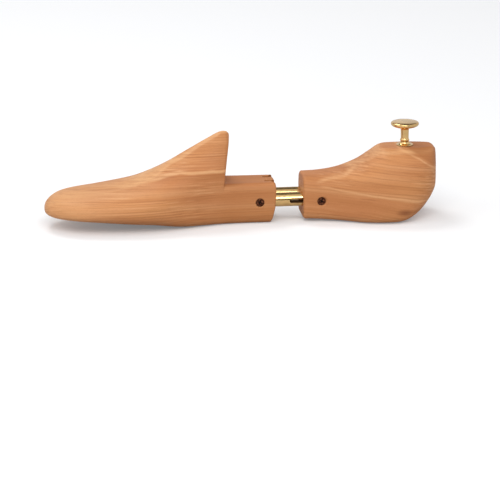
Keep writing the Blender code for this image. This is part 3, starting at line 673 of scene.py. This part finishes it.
def along_x(x, y):
    """Placement at the tubes' height that turns +Z to +X."""
    return Matrix.Translation((x, y, TUBE_HEIGHT)) @ Matrix.Rotation(pi / 2, 4, "Y")


def along_y(x, y):
    """Placement at the tubes' height that turns +Z to +Y."""
    return Matrix.Translation((x, y, TUBE_HEIGHT)) @ Matrix.Rotation(-pi / 2, 4, "X")


def between(first, last):
    """Stations from first towards last, about RING_PITCH apart, without last."""
    count = max(round((last - first) / RING_PITCH), 1)
    return [first + (last - first) * k / count for k in range(count)]


def forepart_rings():
    rings = [forepart_section(END_RING)]
    for step in range(1, TOE_STEPS):
        rings.append(forepart_section(TOE_NOSE_LENGTH * (1 - cos(step / TOE_STEPS * pi / 2))))
    for station in between(TOE_NOSE_LENGTH, NOTCH_STATION):
        rings.append(leaned(shaped_instep(forepart_section(station), station), station))
    face = leaned(shaped_instep(forepart_section(NOTCH_STATION), NOTCH_STATION), NOTCH_STATION)
    for step in range(EDGE_STEPS + 1):
        rings.append(eased_instep(face, step / EDGE_STEPS * pi / 2))
    for station in between(NOTCH_STATION, FOREPART_LENGTH - BLOCK_EDGE):
        rings.append(slanted(forepart_section(station, low_block=True), station))
    last = forepart_section(FOREPART_LENGTH, low_block=True)
    for step in range(EDGE_STEPS + 1):
        turn = step / EDGE_STEPS * pi / 2
        along = BLOCK_EDGE * (1 - sin(turn))
        ring = shrunk(last, BLOCK_EDGE * (1 - cos(turn)), FOREPART_END_X - along)
        rings.append(slanted(ring, FOREPART_LENGTH))
    return rings


def heel_rings():
    first = heel_section(0)
    rings = []
    for step in range(EDGE_STEPS + 1):
        turn = (1 - step / EDGE_STEPS) * pi / 2
        along = HEEL_FRONT_EDGE * (1 - sin(turn))
        rings.append(shrunk(first, HEEL_FRONT_EDGE * (1 - cos(turn)), HEEL_FRONT_X + along))
    for station in between(HEEL_FRONT_EDGE + RING_PITCH, HEEL_LENGTH - HEEL_NOSE_LENGTH):
        rings.append(heel_section(station))
    for step in range(BACK_STEPS):
        from_end = HEEL_NOSE_LENGTH * (1 - sin(step / BACK_STEPS * pi / 2))
        rings.append(heel_section(HEEL_LENGTH - from_end))
    rings.append(heel_section(HEEL_LENGTH - END_RING))
    return rings


def kerf_outline():
    """Side view of the kerf: round under the pivot, a slope up in front, open behind and above."""
    back = FOREPART_END_X + OVERSHOOT
    top = BLOCK_TOP + OVERSHOOT
    outline = [(back, TUBE_HEIGHT - KERF_RADIUS)]
    for step in range(KERF_STEPS + 1):
        angle = -pi / 2 - (pi - KERF_ANGLE) * step / KERF_STEPS
        outline.append((PIVOT_X + KERF_RADIUS * cos(angle), TUBE_HEIGHT + KERF_RADIUS * sin(angle)))
    start_x, start_z = outline[-1]
    outline.append((start_x + (top - start_z) / tan(KERF_ANGLE), top))
    outline.append((back, top))
    return outline


def relief():
    """Space that a round tube sweeps about the pivot, from level up to its largest tilt."""
    bm = bmesh.new()
    for tilt in (0, LARGEST_TILT + SPARE_TILT):
        turn = Matrix.Rotation(-tilt, 3, "Y")
        for reach in (RELIEF_START, RELIEF_END):
            for k in range(ROUND_SIDES):
                angle = 2 * pi * k / ROUND_SIDES
                point = Vector((reach, BORE_RADIUS * cos(angle), BORE_RADIUS * sin(angle)))
                bm.verts.new(turn @ point)
    bmesh.ops.convex_hull(bm, input=bm.verts)
    loose = [vertex for vertex in bm.verts if not vertex.link_faces]
    bmesh.ops.delete(bm, geom=loose, context="VERTS")
    bmesh.ops.recalc_face_normals(bm, faces=bm.faces)
    return bm


def cut_screw_hole(target, x, near_face):
    """Hole for a screw driven in from the near side, wider for its head, with an eased mouth."""
    shoulder = OVERSHOOT + SCREW_RECESS + SCREW_HEAD_HEIGHT + CLEARANCE
    end = OVERSHOOT + SCREW_RECESS + SCREW_LENGTH + CLEARANCE
    profile = (
        (0, 0),
        (HEAD_HOLE_RADIUS + OVERSHOOT + MOUTH_EASING, 0),
        (HEAD_HOLE_RADIUS, OVERSHOOT + MOUTH_EASING),
        (HEAD_HOLE_RADIUS, shoulder),
        (SCREW_HOLE_RADIUS, shoulder + HOLE_TAPER),
        (SCREW_HOLE_RADIUS, end),
        (0, end),
    )
    cut(target, turned(profile, ROUND_SIDES), along_y(x, near_face - OVERSHOOT))


def build_forepart(cedar):
    forepart = new_object("cedar_forepart", loft(forepart_rings()))
    outline = kerf_outline()
    for side in (-1, 1):
        middle = side * KERF_OFFSET
        cut(forepart, prism(outline, middle - KERF_WIDTH / 2, middle + KERF_WIDTH / 2))
        cut(forepart, relief(), Matrix.Translation((PIVOT_X, side * TUBE_PITCH / 2, TUBE_HEIGHT)))
    cut_screw_hole(forepart, PIVOT_X, -smooth(FOREPART_NEAR, PIVOT_X - TOE_X))
    finished(forepart, cedar, "cedar", "forepart", "forepart")


def build_heel(cedar):
    heel = new_object("cedar_heel", loft(heel_rings()))
    cut_screw_hole(heel, STOP_SCREW_X, -smooth(HEEL_WIDTH, STOP_SCREW_X - HEEL_FRONT_X))
    for side in (-1, 1):
        length = BORE_END_X - HEEL_FRONT_X + OVERSHOOT
        place = along_x(HEEL_FRONT_X - OVERSHOOT, side * TUBE_PITCH / 2)
        cut(heel, cylinder(BORE_RADIUS, length), place)
    depth = STUD_DEPTH + CLEARANCE
    place = Matrix.Translation((KNOB_X, 0, HEEL_TOP - depth))
    cut(heel, cylinder(STUD_RADIUS + CLEARANCE, depth + OVERSHOOT, SMALL_SIDES), place)
    finished(heel, cedar, "cedar", "heel", "heel")


def tube_ring(x, tongue_share, side):
    """Ring about the tube, from round at share 0 to the flat tongue's rounded oblong at share 1."""
    ring = []
    for k in range(ROUND_SIDES):
        angle = 2 * pi * k / ROUND_SIDES
        round_y = TUBE_RADIUS * cos(angle)
        squared = abs(cos(angle)) ** (2 / TONGUE_POWER)
        flat_y = TONGUE_THICKNESS / 2 * squared * (1 if cos(angle) > 0 else -1)
        y = round_y + (flat_y - side * TONGUE_INSET - round_y) * tongue_share
        ring.append(Vector((x, y, TUBE_RADIUS * sin(angle))))
    return ring


def build_tube(word, side, brass, dull_and_shaded_brass):
    """Tube from the pivot: a tongue round the hinge screw, then a round tube with a stop slot."""
    y = side * TUBE_PITCH / 2
    end = TUBE_END_X - PIVOT_X
    rings = []
    for step in range(1, TONGUE_TIP_STEPS + 1):
        angle = step / TONGUE_TIP_STEPS * pi / 2
        ring = tube_ring(-TUBE_RADIUS * cos(angle), 1, side)
        rings.append([Vector((p.x, p.y, p.z * sin(angle))) for p in ring])
    rings.append(tube_ring(TONGUE_END, 1, side))
    for step in range(1, FLATTENING_STEPS + 1):
        share = step / FLATTENING_STEPS
        eased = share * share * (3 - 2 * share)
        rings.append(tube_ring(TONGUE_END + (ROUND_START - TONGUE_END) * share, 1 - eased, side))
    for x in between(ROUND_START + RING_PITCH, end):
        rings.append(tube_ring(x, 0, side))
    rings.append(tube_ring(end, 0, side))
    place = Matrix.Translation((PIVOT_X, y, TUBE_HEIGHT))
    tube = new_object(f"brass_tube_{word}", loft(rings), place)
    hollow = cylinder(TUBE_RADIUS - TUBE_WALL, end - HOLLOW_START + OVERSHOOT)
    cut(tube, hollow, along_x(PIVOT_X + HOLLOW_START, y))
    start = STOP_SCREW_X - SLOT_AHEAD + SLOT_HEIGHT / 2
    finish = STOP_SCREW_X + SLOT_BEHIND - SLOT_HEIGHT / 2
    outline = []
    for centre, first in ((finish, -90), (start, 90)):
        for step in range(SLOT_STEPS + 1):
            angle = radians(first + 180 * step / SLOT_STEPS)
            x = centre + SLOT_HEIGHT / 2 * cos(angle)
            outline.append((x, TUBE_HEIGHT + SLOT_HEIGHT / 2 * sin(angle)))
    cut(tube, prism(outline, y - BORE_RADIUS, y + BORE_RADIUS))
    hole = cylinder(SCREW_HOLE_RADIUS, 2 * OVERSHOOT, SMALL_SIDES)
    cut(tube, hole, along_y(PIVOT_X, side * KERF_OFFSET - OVERSHOOT))
    finished(tube, brass, "polished_brass", "tubes", f"tube_{word}")
    axis = Vector((y, TUBE_HEIGHT))
    inner = TUBE_RADIUS - TUBE_WALL / 2
    # The tube's inside faces take the dark brass, painted shade inside the hollow
    shade_inside(tube, dull_and_shaded_brass, lambda middle: (middle.yz - axis).length < inner)


def build_spring(word, side, steel):
    """Open coil along X, built at one length; in the real tree it shortens as the heel comes forward
    over the tubes.
    """
    closed_share = 1 / SPRING_TURNS
    closed_rise = CLOSED_PITCH * 2 * SPRING_WIRE_RADIUS
    run = SPRING_LENGTH - 2 * SPRING_WIRE_RADIUS - 2 * closed_rise
    total = SPRING_TURNS * COIL_STEPS_PER_TURN
    rings = []
    for step in range(total + 1):
        share = step / total
        if share < closed_share:
            height = closed_rise * share / closed_share
        elif share > 1 - closed_share:
            height = closed_rise + run + closed_rise * (share - 1 + closed_share) / closed_share
        else:
            height = closed_rise + run * (share - closed_share) / (1 - 2 * closed_share)
        angle = 2 * pi * SPRING_TURNS * share
        outward = Vector((0, cos(angle), sin(angle)))
        centre = outward * SPRING_COIL_RADIUS + Vector((SPRING_WIRE_RADIUS + height, 0, 0))
        ring = []
        for k in range(WIRE_SIDES):
            turn = 2 * pi * k / WIRE_SIDES
            across = outward * cos(turn) + Vector((sin(turn), 0, 0))
            ring.append(centre + SPRING_WIRE_RADIUS * across)
        rings.append(ring)
    place = Matrix.Translation((SPRING_START_X, side * TUBE_PITCH / 2, TUBE_HEIGHT))
    spring = new_object(f"coil_{word}", loft(rings), place)
    finished(spring, steel, "spring_steel", None, f"spring_{word}")
    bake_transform(spring)


def build_screw(word, x, near_face, bronze, painted_recess_shade, body):
    """Countersunk wood screw along +Y with an eased rim, a cross recess and a threaded point."""
    profile = [(0, 0), (SCREW_HEAD_RADIUS - SCREW_RIM, 0)]
    bevel = SCREW_RIM * SCREW_RIM_BEVEL
    profile.append((SCREW_HEAD_RADIUS - bevel, bevel))
    profile.append((SCREW_HEAD_RADIUS, SCREW_RIM))
    profile += [(SCREW_RADIUS, SCREW_HEAD_HEIGHT), (SCREW_RADIUS, SCREW_SHANK)]
    height = SCREW_SHANK
    while height + 2 * THREAD_PITCH < SCREW_LENGTH:
        to_tip = SCREW_LENGTH - height - THREAD_PITCH
        left = min(1, to_tip / (THREAD_TAPER_TURNS * THREAD_PITCH))
        root = THREAD_ROOT_RADIUS * left
        profile += [(root, height + share * THREAD_PITCH) for share in THREAD_ROOT_SHARES]
        profile.append((SCREW_RADIUS * left, height + THREAD_PITCH))
        height += THREAD_PITCH
    profile.append((0, SCREW_LENGTH))
    place = along_y(x, near_face + SCREW_RECESS)
    screw = new_object(f"bronze_{word}_screw", turned(profile, ROUND_SIDES), place)
    for length, width in ((CROSS_LENGTH, CROSS_WIDTH), (CROSS_WIDTH, CROSS_LENGTH)):
        low = (-length / 2, -width / 2, -OVERSHOOT)
        arm = box(low, (length / 2, width / 2, CROSS_DEPTH))
        cut(screw, arm, place @ Matrix.Rotation(CROSS_TURN, 4, "Z"))
    finished(screw, bronze, "bronzed_steel", body, f"{word}_screw")
    face = near_face + SCREW_RECESS
    recess = (face + RECESS_MARGIN, face + CROSS_DEPTH + RECESS_MARGIN)
    axis = Vector((x, TUBE_HEIGHT))
    reach = CROSS_LENGTH / 2 + RECESS_MARGIN
    # The cross recess's faces take near-black painted shade
    shade_inside(screw, painted_recess_shade, lambda middle: (
        recess[0] < middle.y < recess[1] and (middle.xz - axis).length < reach
    ))


def build_rosette(brass):
    """Thin trumpet-shaped ring that stands on the heel's flat top, round the stud."""
    hole = STUD_RADIUS + CLEARANCE
    lip_radius = ROSETTE_RADIUS - ROSETTE_LIP / 2
    profile = [(hole, 0), (ROSETTE_RADIUS - CLEARANCE, 0)]
    profile += [(ROSETTE_RADIUS, ROSETTE_LIP / 2), (lip_radius, ROSETTE_LIP)]
    for step in range(1, ROSETTE_STEPS + 1):
        turn = step / ROSETTE_STEPS * pi / 2
        radius = ROSETTE_NECK_RADIUS + (lip_radius - ROSETTE_NECK_RADIUS) * (1 - sin(turn))
        height = ROSETTE_LIP + (ROSETTE_HEIGHT - ROSETTE_LIP) * (1 - cos(turn))
        profile.append((radius, height))
    profile.append((hole, ROSETTE_HEIGHT))
    place = Matrix.Translation((KNOB_X, 0, HEEL_TOP + CLEARANCE))
    rosette = new_object("brass_rosette", turned(profile, KNOB_SIDES, hollow=True), place)
    finished(rosette, brass, "polished_brass", "heel", "knob_rosette")


def rounded(points):
    """Outline with its corners cut off again and again, keeping its two ends."""
    for _ in range(ROUNDING_PASSES):
        cut_points = [points[0]]
        for (r0, h0), (r1, h1) in zip(points, points[1:]):
            for near in (1 - CORNER_CUT, CORNER_CUT):
                cut_points.append((near * r0 + (1 - near) * r1, near * h0 + (1 - near) * h1))
        cut_points.append(points[-1])
        points = cut_points
    return points


def build_knob(brass):
    """Turned pull: a bead, a waisted stem and a lens-shaped head, with a hole for the stud."""
    base = ROSETTE_HEIGHT + 2 * CLEARANCE
    hole = STUD_RADIUS + CLEARANCE
    hole_end = STUD_IN_KNOB + CLEARANCE
    profile = [(0, hole_end), (hole, hole_end), (hole, base)]
    outside = [(KNOB_FOOT_RADIUS, base)]
    outside += [(radius * MM, height * MM) for radius, height in KNOB_OUTLINE]
    profile += rounded(outside)
    place = Matrix.Translation((KNOB_X, 0, HEEL_TOP))
    knob = new_object("brass_knob", turned(profile, KNOB_SIDES), place)
    finished(knob, brass, "polished_brass", "heel", "knob")


class Nodes:
    """Short calls that add nodes to one material, or to the world."""

    def __init__(self, owner):
        self.material = bpy.data.materials.new(owner) if isinstance(owner, str) else owner
        self.material.use_nodes = True
        self.tree = self.material.node_tree
        self.shader = self.tree.nodes.get("Principled BSDF")

    def add(self, kind, values, **settings):
        """Node with settings, whose inputs are values or sockets by name or number."""
        node = self.tree.nodes.new(kind)
        for name, value in settings.items():
            setattr(node, name, value)
        for key, value in values.items():
            self.put(node.inputs[key], value)
        return node

    def put(self, socket, value):
        """Links another socket into a socket, or sets the socket's own value."""
        if isinstance(value, bpy.types.NodeSocket):
            self.tree.links.new(value, socket)
        else:
            socket.default_value = value

    def surface(self, values):
        """Puts values or sockets on the shader's inputs by name."""
        for name, value in values.items():
            self.put(self.shader.inputs[name], value)

    def math(self, operation, a, b=0.0):
        return self.add("ShaderNodeMath", {0: a, 1: b}, operation=operation).outputs[0]

    def vector(self, operation, a, b):
        return self.add("ShaderNodeVectorMath", {0: a, 1: b}, operation=operation).outputs[0]

    def parts(self, vector):
        """Sockets of a vector's X, Y and Z."""
        return list(self.add("ShaderNodeSeparateXYZ", {0: vector}).outputs)

    def place(self):
        """Position in the piece's own frame, in millimetres."""
        coordinates = self.tree.nodes.new("ShaderNodeTexCoord")
        return self.vector("MULTIPLY", coordinates.outputs["Object"], (1 / MM, 1 / MM, 1 / MM))

    def noise(self, place, stretch, detail, roughness=0.5):
        """Noise from 0 to 1 with stretch cells per millimetre along each axis."""
        scaled = self.vector("MULTIPLY", place, stretch)
        values = {"Vector": scaled, "Scale": 1.0, "Detail": detail, "Roughness": roughness}
        return self.add("ShaderNodeTexNoise", values).outputs["Fac"]

    def remap(self, value, low, high, to_low=0.0, to_high=1.0):
        """Value eased from the range low to high into the range to_low to to_high."""
        values = dict(enumerate((value, low, high, to_low, to_high)))
        node = self.add("ShaderNodeMapRange", values, interpolation_type="SMOOTHSTEP")
        return node.outputs["Result"]

    def mix(self, share, a, b):
        """Colour a with a share of colour b."""
        node = self.add("ShaderNodeMix", {"Factor": share}, data_type="RGBA")
        colours = [socket for socket in node.inputs if socket.type == "RGBA"]
        self.put(colours[0], a)
        self.put(colours[1], b)
        return next(socket for socket in node.outputs if socket.type == "RGBA")

    def bump(self, height, distance, strength):
        values = {"Height": height, "Distance": distance, "Strength": strength}
        self.surface({"Normal": self.add("ShaderNodeBump", values).outputs["Normal"]})


def from_pith(wood, parts, shifted, pith, slope):
    """Offsets along Y and Z from the pith line, which sways a little along the wood."""
    offsets = []
    for part, at, lean, noise in zip(parts[1:], pith, slope, (SWAY_NOISE, LIFT_NOISE)):
        off = wood.math("SUBTRACT", part, at)
        off = wood.math("SUBTRACT", off, wood.math("MULTIPLY", parts[0], lean))
        drift = wood.math("SUBTRACT", wood.noise(shifted, *noise), 0.5)
        offsets.append(wood.math("ADD", off, wood.math("MULTIPLY", drift, 2 * RING_DRIFT)))
    return offsets


def knotted(wood, place, ring, knots):
    """Ring distance pushed outward round the knots, and the share of the knots' dark cores."""
    core = 0.0
    for x, y, z, radius, push in knots:
        off = wood.vector("MULTIPLY", wood.vector("SUBTRACT", place, (x, y, z)), KNOT_STRETCH)
        away = wood.add("ShaderNodeVectorMath", {0: off}, operation="LENGTH").outputs["Value"]
        ring = wood.math("ADD", ring, wood.math("MULTIPLY", wood.remap(away, radius, 0), push))
        inner = wood.remap(away, radius * KNOT_CORE[0], radius * KNOT_CORE[1])
        core = wood.math("MAXIMUM", inner, core)
    return ring, core


def late_wood(wood, grain, ring, pitch):
    """Share of each year's dark late wood, which is stronger in some years than in others."""
    ragged = wood.math("MULTIPLY", wood.noise(grain, *RAGGED_NOISE), RING_RAGGEDNESS)
    count = wood.math("ADD", wood.math("DIVIDE", ring, pitch), ragged)
    position = wood.math("FRACT", count)
    year = {"W": wood.math("FLOOR", count)}
    strength = wood.add("ShaderNodeTexWhiteNoise", year, noise_dimensions="1D").outputs["Value"]
    rise = wood.remap(position, *LATE_WOOD_RISE)
    late = wood.math("SUBTRACT", rise, wood.remap(position, *LATE_WOOD_FALL))
    return wood.math("MULTIPLY", late, wood.remap(strength, *YEAR_STRENGTH))


def banded(wood, colour, parts, shifted, fibre, bands):
    """Colour with the tint of each band over it, be it wood figure, a painted highlight or painted
    shade.
    """
    waver = wood.remap(wood.noise(shifted, *WAVER_NOISE), *BAND_WAVER)
    fibrous = wood.remap(fibre, *BAND_FIBRES)
    for height, knees, (width, edge), (start, full), tint, share in bands:
        level = wood.math("SUBTRACT", parts[2], height)
        for x, slope in knees:
            ahead = wood.math("MAXIMUM", wood.math("SUBTRACT", x, parts[0]), 0)
            level = wood.math("ADD", level, wood.math("MULTIPLY", ahead, slope))
        level = wood.math("ADD", level, waver)
        inside = wood.remap(wood.math("ABSOLUTE", level), width, width - edge)
        along = wood.remap(parts[0], start, full)
        amount = wood.math("MULTIPLY", wood.math("MULTIPLY", inside, along), fibrous)
        colour = wood.mix(wood.math("MULTIPLY", amount, share), colour, tint)
    return colour


def cedar_material(name, pith, slope, pitch, knots, bands, seed):
    """Solid cedar: rings round a pith line along X, fibres, pale and dark layers and knots,
    with painted highlights and painted shade in some of its bands.

    pith is the (y, z) of the line at x = 0, slope its (dy/dx, dz/dx) and pitch the mean ring width.
    A knot is (x, y, z, radius, push). A band is a tinted layer of pale or dark figure, or a painted
    highlight or painted shade: (height, knees, (half width, soft edge), (start, full), tint, share).
    It is level up to the first knee, (x, slope), and falls ahead of it. Lengths are in millimetres.
    """
    wood = Nodes(name)
    place = wood.place()
    parts = wood.parts(place)
    shifted = wood.vector("ADD", place, tuple(seed * step for step in PLACE_SEED))
    across, upright = from_pith(wood, parts, shifted, pith, slope)
    squares = [wood.math("MULTIPLY", value, value) for value in (across, upright)]
    ring = wood.math("SQRT", wood.math("ADD", *squares))
    ring, core = knotted(wood, place, ring, knots)
    grain = wood.add("ShaderNodeCombineXYZ", {0: parts[0], 1: across, 2: ring}).outputs[0]
    grain = wood.vector("ADD", grain, tuple(seed * step for step in GRAIN_SEED))
    late = late_wood(wood, grain, ring, pitch)
    layer = wood.noise(grain, *LAYER_NOISE)
    zone = wood.noise(shifted, *ZONE_NOISE)
    dash = wood.noise(grain, *DASH_NOISE)
    hair = wood.noise(grain, *HAIR_NOISE)
    busy = wood.remap(wood.noise(shifted, *BUSY_NOISE), *BUSY_RANGE)
    fibre = wood.math("SUBTRACT", wood.noise(grain, *FIBRE_NOISE), FIBRE_MIDDLE)
    fibre = wood.math("ADD", wood.math("MULTIPLY", fibre, busy), FIBRE_MIDDLE)
    colour = wood.mix(wood.remap(zone, *ZONE_RANGE), CEDAR_PINK, CEDAR_YELLOW)
    colour = wood.mix(wood.remap(layer, *PALE_LAYER), colour, CEDAR_PALE_AND_HIGHLIGHT)
    colour = wood.mix(wood.remap(layer, *DEEP_LAYER), colour, CEDAR_DEEP_AND_SHADE)
    colour = wood.mix(wood.math("MULTIPLY", late, RING_SHARE), colour, CEDAR_LATE)
    colour = wood.mix(wood.remap(fibre, *DARK_FIBRE), colour, CEDAR_LATE)
    colour = wood.mix(wood.remap(fibre, *PALE_FIBRE), colour, CEDAR_PALE_AND_HIGHLIGHT)
    colour = wood.mix(wood.remap(dash, *DARK_DASH), colour, CEDAR_DARK)
    colour = banded(wood, colour, parts, shifted, fibre, bands)
    colour = wood.mix(wood.remap(hair, *DARK_HAIR), colour, CEDAR_DARK)
    colour = wood.mix(wood.math("MULTIPLY", core, KNOT_SHARE), colour, CEDAR_KNOT)
    wood.surface({
        "Base Color": colour,
        "Roughness": wood.remap(fibre, *CEDAR_ROUGHNESS),
        "Specular IOR Level": CEDAR_SPECULAR,
    })
    raised = wood.math("MULTIPLY", hair, HAIR_RELIEF)
    height = wood.math("SUBTRACT", raised, wood.math("MULTIPLY", late, RING_RELIEF))
    wood.bump(height, *CEDAR_BUMP)
    return wood.material


def brass_material():
    """Polished brass under thin lacquer, with fine scratches along the work and faint tarnish."""
    brass = Nodes("polished_brass")
    place = brass.place()
    scratch = brass.noise(place, *BRASS_SCRATCH)
    cloud = brass.noise(place, *BRASS_CLOUD)
    brass.surface({
        "Base Color": brass.mix(brass.remap(cloud, *BRASS_TARNISH), BRASS_BRIGHT, BRASS_DULL),
        "Metallic": 1.0,
        "Roughness": brass.remap(scratch, *BRASS_ROUGHNESS),
        "Coat Weight": BRASS_LACQUER,
    })
    brass.bump(scratch, *BRASS_BUMP)
    return brass.material


def steel_material(name, noise, change, tints, metallic, roughness, bump):
    """Steel whose colour and roughness, and relief if it has any, follow one noise."""
    steel = Nodes(name)
    worn = steel.noise(steel.place(), *noise)
    steel.surface({
        "Base Color": steel.mix(steel.remap(worn, *change), *tints),
        "Metallic": metallic,
        "Roughness": steel.remap(worn, *roughness),
    })
    if bump:
        steel.bump(worn, *bump)
    return steel.material


def shaded_inside_material(name, colour):
    """Unpolished metal inside a hollow, with slight stains, darkened as painted shade."""
    dull = Nodes(name)
    stain = dull.noise(dull.place(), *STAIN_NOISE)
    worn = tuple(STAIN_DARKNESS * part for part in colour[:3]) + (1,)
    dull.surface({
        "Base Color": dull.mix(stain, colour, worn),
        "Metallic": STAIN_METALLIC,
        "Roughness": dull.remap(stain, *STAIN_ROUGHNESS),
    })
    return dull.material


def floor_material():
    """Pale paper that throws less light back on the wood than it shows."""
    paper = Nodes("pale_floor")
    grain = paper.noise(paper.place(), *FLOOR_GRAIN)
    seen = paper.tree.nodes.new("ShaderNodeLightPath").outputs["Is Camera Ray"]
    shade = paper.mix(grain, FLOOR_LIGHT, FLOOR_GREY)
    paper.surface({
        "Base Color": paper.mix(seen, FLOOR_BOUNCE, shade),
        "Emission Color": FLOOR_LIGHT,
        "Emission Strength": paper.math("MULTIPLY", seen, FLOOR_GLOW),
        "Roughness": FLOOR_ROUGHNESS,
        "Specular IOR Level": FLOOR_SPECULAR,
    })
    return paper.material


def build_floor():
    bm = bmesh.new()
    bmesh.ops.create_grid(bm, x_segments=1, y_segments=1, size=FLOOR_SIZE / 2)
    floor = new_object("floor", bm, Matrix.Translation((0, 0, -FLOOR_GAP)))
    floor.data.materials.append(floor_material())


def aimed(origin, target):
    """Matrix of a camera or light at origin that looks at target."""
    toward = Vector(target) - Vector(origin)
    return Matrix.Translation(origin) @ toward.to_track_quat("-Z", "Y").to_matrix().to_4x4()


def around(azimuth, elevation, distance, target=(0, 0, 0)):
    """Point at a distance from target, in front of it at azimuth 0, and above it."""
    a, e = radians(azimuth), radians(elevation)
    offset = Vector((sin(a) * cos(e), -cos(a) * cos(e), sin(e)))
    return Vector(target) + distance * offset


def add_camera():
    camera = bpy.data.objects.new("camera", bpy.data.cameras.new("camera"))
    bpy.context.collection.objects.link(camera)
    camera.data.sensor_width = CAMERA_SENSOR
    camera.data.lens = CAMERA_SENSOR * CAMERA_DISTANCE / CAMERA_FIELD
    camera.data.clip_start = CAMERA_NEAREST
    camera.matrix_world = aimed(around(*CAMERA_VIEW, CAMERA_DISTANCE, CAMERA_TARGET), CAMERA_TARGET)
    bpy.context.scene.camera = camera


def add_light(name, azimuth, elevation, distance, size, power, colour):
    light = bpy.data.lights.new(name, "AREA")
    light.shape = "RECTANGLE"
    light.size, light.size_y = size
    light.energy = power
    light.color = colour
    lamp = bpy.data.objects.new(name, light)
    bpy.context.collection.objects.link(lamp)
    lamp.matrix_world = aimed(around(azimuth, elevation, distance), LIGHT_TARGET)


def add_world():
    """Studio round the object: bright ceiling in front, bright sides, pale backdrop behind."""
    world = bpy.data.worlds.new("studio")
    bpy.context.scene.world = world
    studio = Nodes(world)
    direction = studio.tree.nodes.new("ShaderNodeTexCoord").outputs["Generated"]
    parts = studio.parts(direction)
    above = studio.remap(parts[2], *CEILING_EDGE)
    ahead = studio.remap(parts[1], *CEILING_BACK)
    ceiling = studio.math("MULTIPLY", above, ahead)
    side = studio.remap(studio.math("ABSOLUTE", parts[0]), *SIDE_EDGE)
    behind = studio.math("SUBTRACT", 1.0, ahead)
    backdrop = studio.math("MULTIPLY", studio.remap(parts[2], *BACKDROP_EDGE), behind)
    colour = studio.mix(studio.math("MAXIMUM", side, backdrop), WALL_DIM, WALL_BRIGHT)
    colour = studio.mix(ceiling, colour, CEILING_BRIGHT)
    studio.put(studio.tree.nodes["Background"].inputs["Color"], colour)


def add_lights():
    add_world()
    for light in LIGHTS:
        add_light(*light)
    bpy.context.scene.view_settings.view_transform = "Standard"


def main():
    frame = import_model()
    brass = brass_material()
    bronze = steel_material(*BRONZED)
    steel = steel_material(*DRAWN)
    dull_and_shaded_brass = shaded_inside_material("dull_and_shaded_brass", BRASS_INSIDE_DULL_AND_SHADE)
    painted_recess_shade = shaded_inside_material("painted_recess_shade", BRONZE_RECESS_SHADE)
    front_cedar = cedar_material("cedar_front", *FRONT_WOOD_AND_PAINTED_LIGHT)
    heel_cedar = cedar_material("cedar_back", *HEEL_WOOD_AND_PAINTED_LIGHT)
    build_forepart(front_cedar)
    build_heel(heel_cedar)
    for side, word in ((-1, "left"), (1, "right")):
        build_tube(word, side, brass, dull_and_shaded_brass)
        build_spring(word, side, steel)
    hinge_face = -smooth(FOREPART_NEAR, PIVOT_X - TOE_X)
    build_screw("hinge", PIVOT_X, hinge_face, bronze, painted_recess_shade, "forepart")
    stop_face = -smooth(HEEL_WIDTH, STOP_SCREW_X - HEEL_FRONT_X)
    build_screw("stop", STOP_SCREW_X, stop_face, bronze, painted_recess_shade, "heel")
    build_rosette(brass)
    build_knob(brass)
    inside = {"tube_plug_left": brass, "tube_plug_right": brass}
    inside.update(dict.fromkeys(("spring_seat_left", "spring_seat_right", "knob_stud"), steel))
    for node, finish in inside.items():
        frame["nodes"][node].data.materials.clear()
        frame["nodes"][node].data.materials.append(finish)
    build_floor()
    add_camera()
    add_lights()


main()
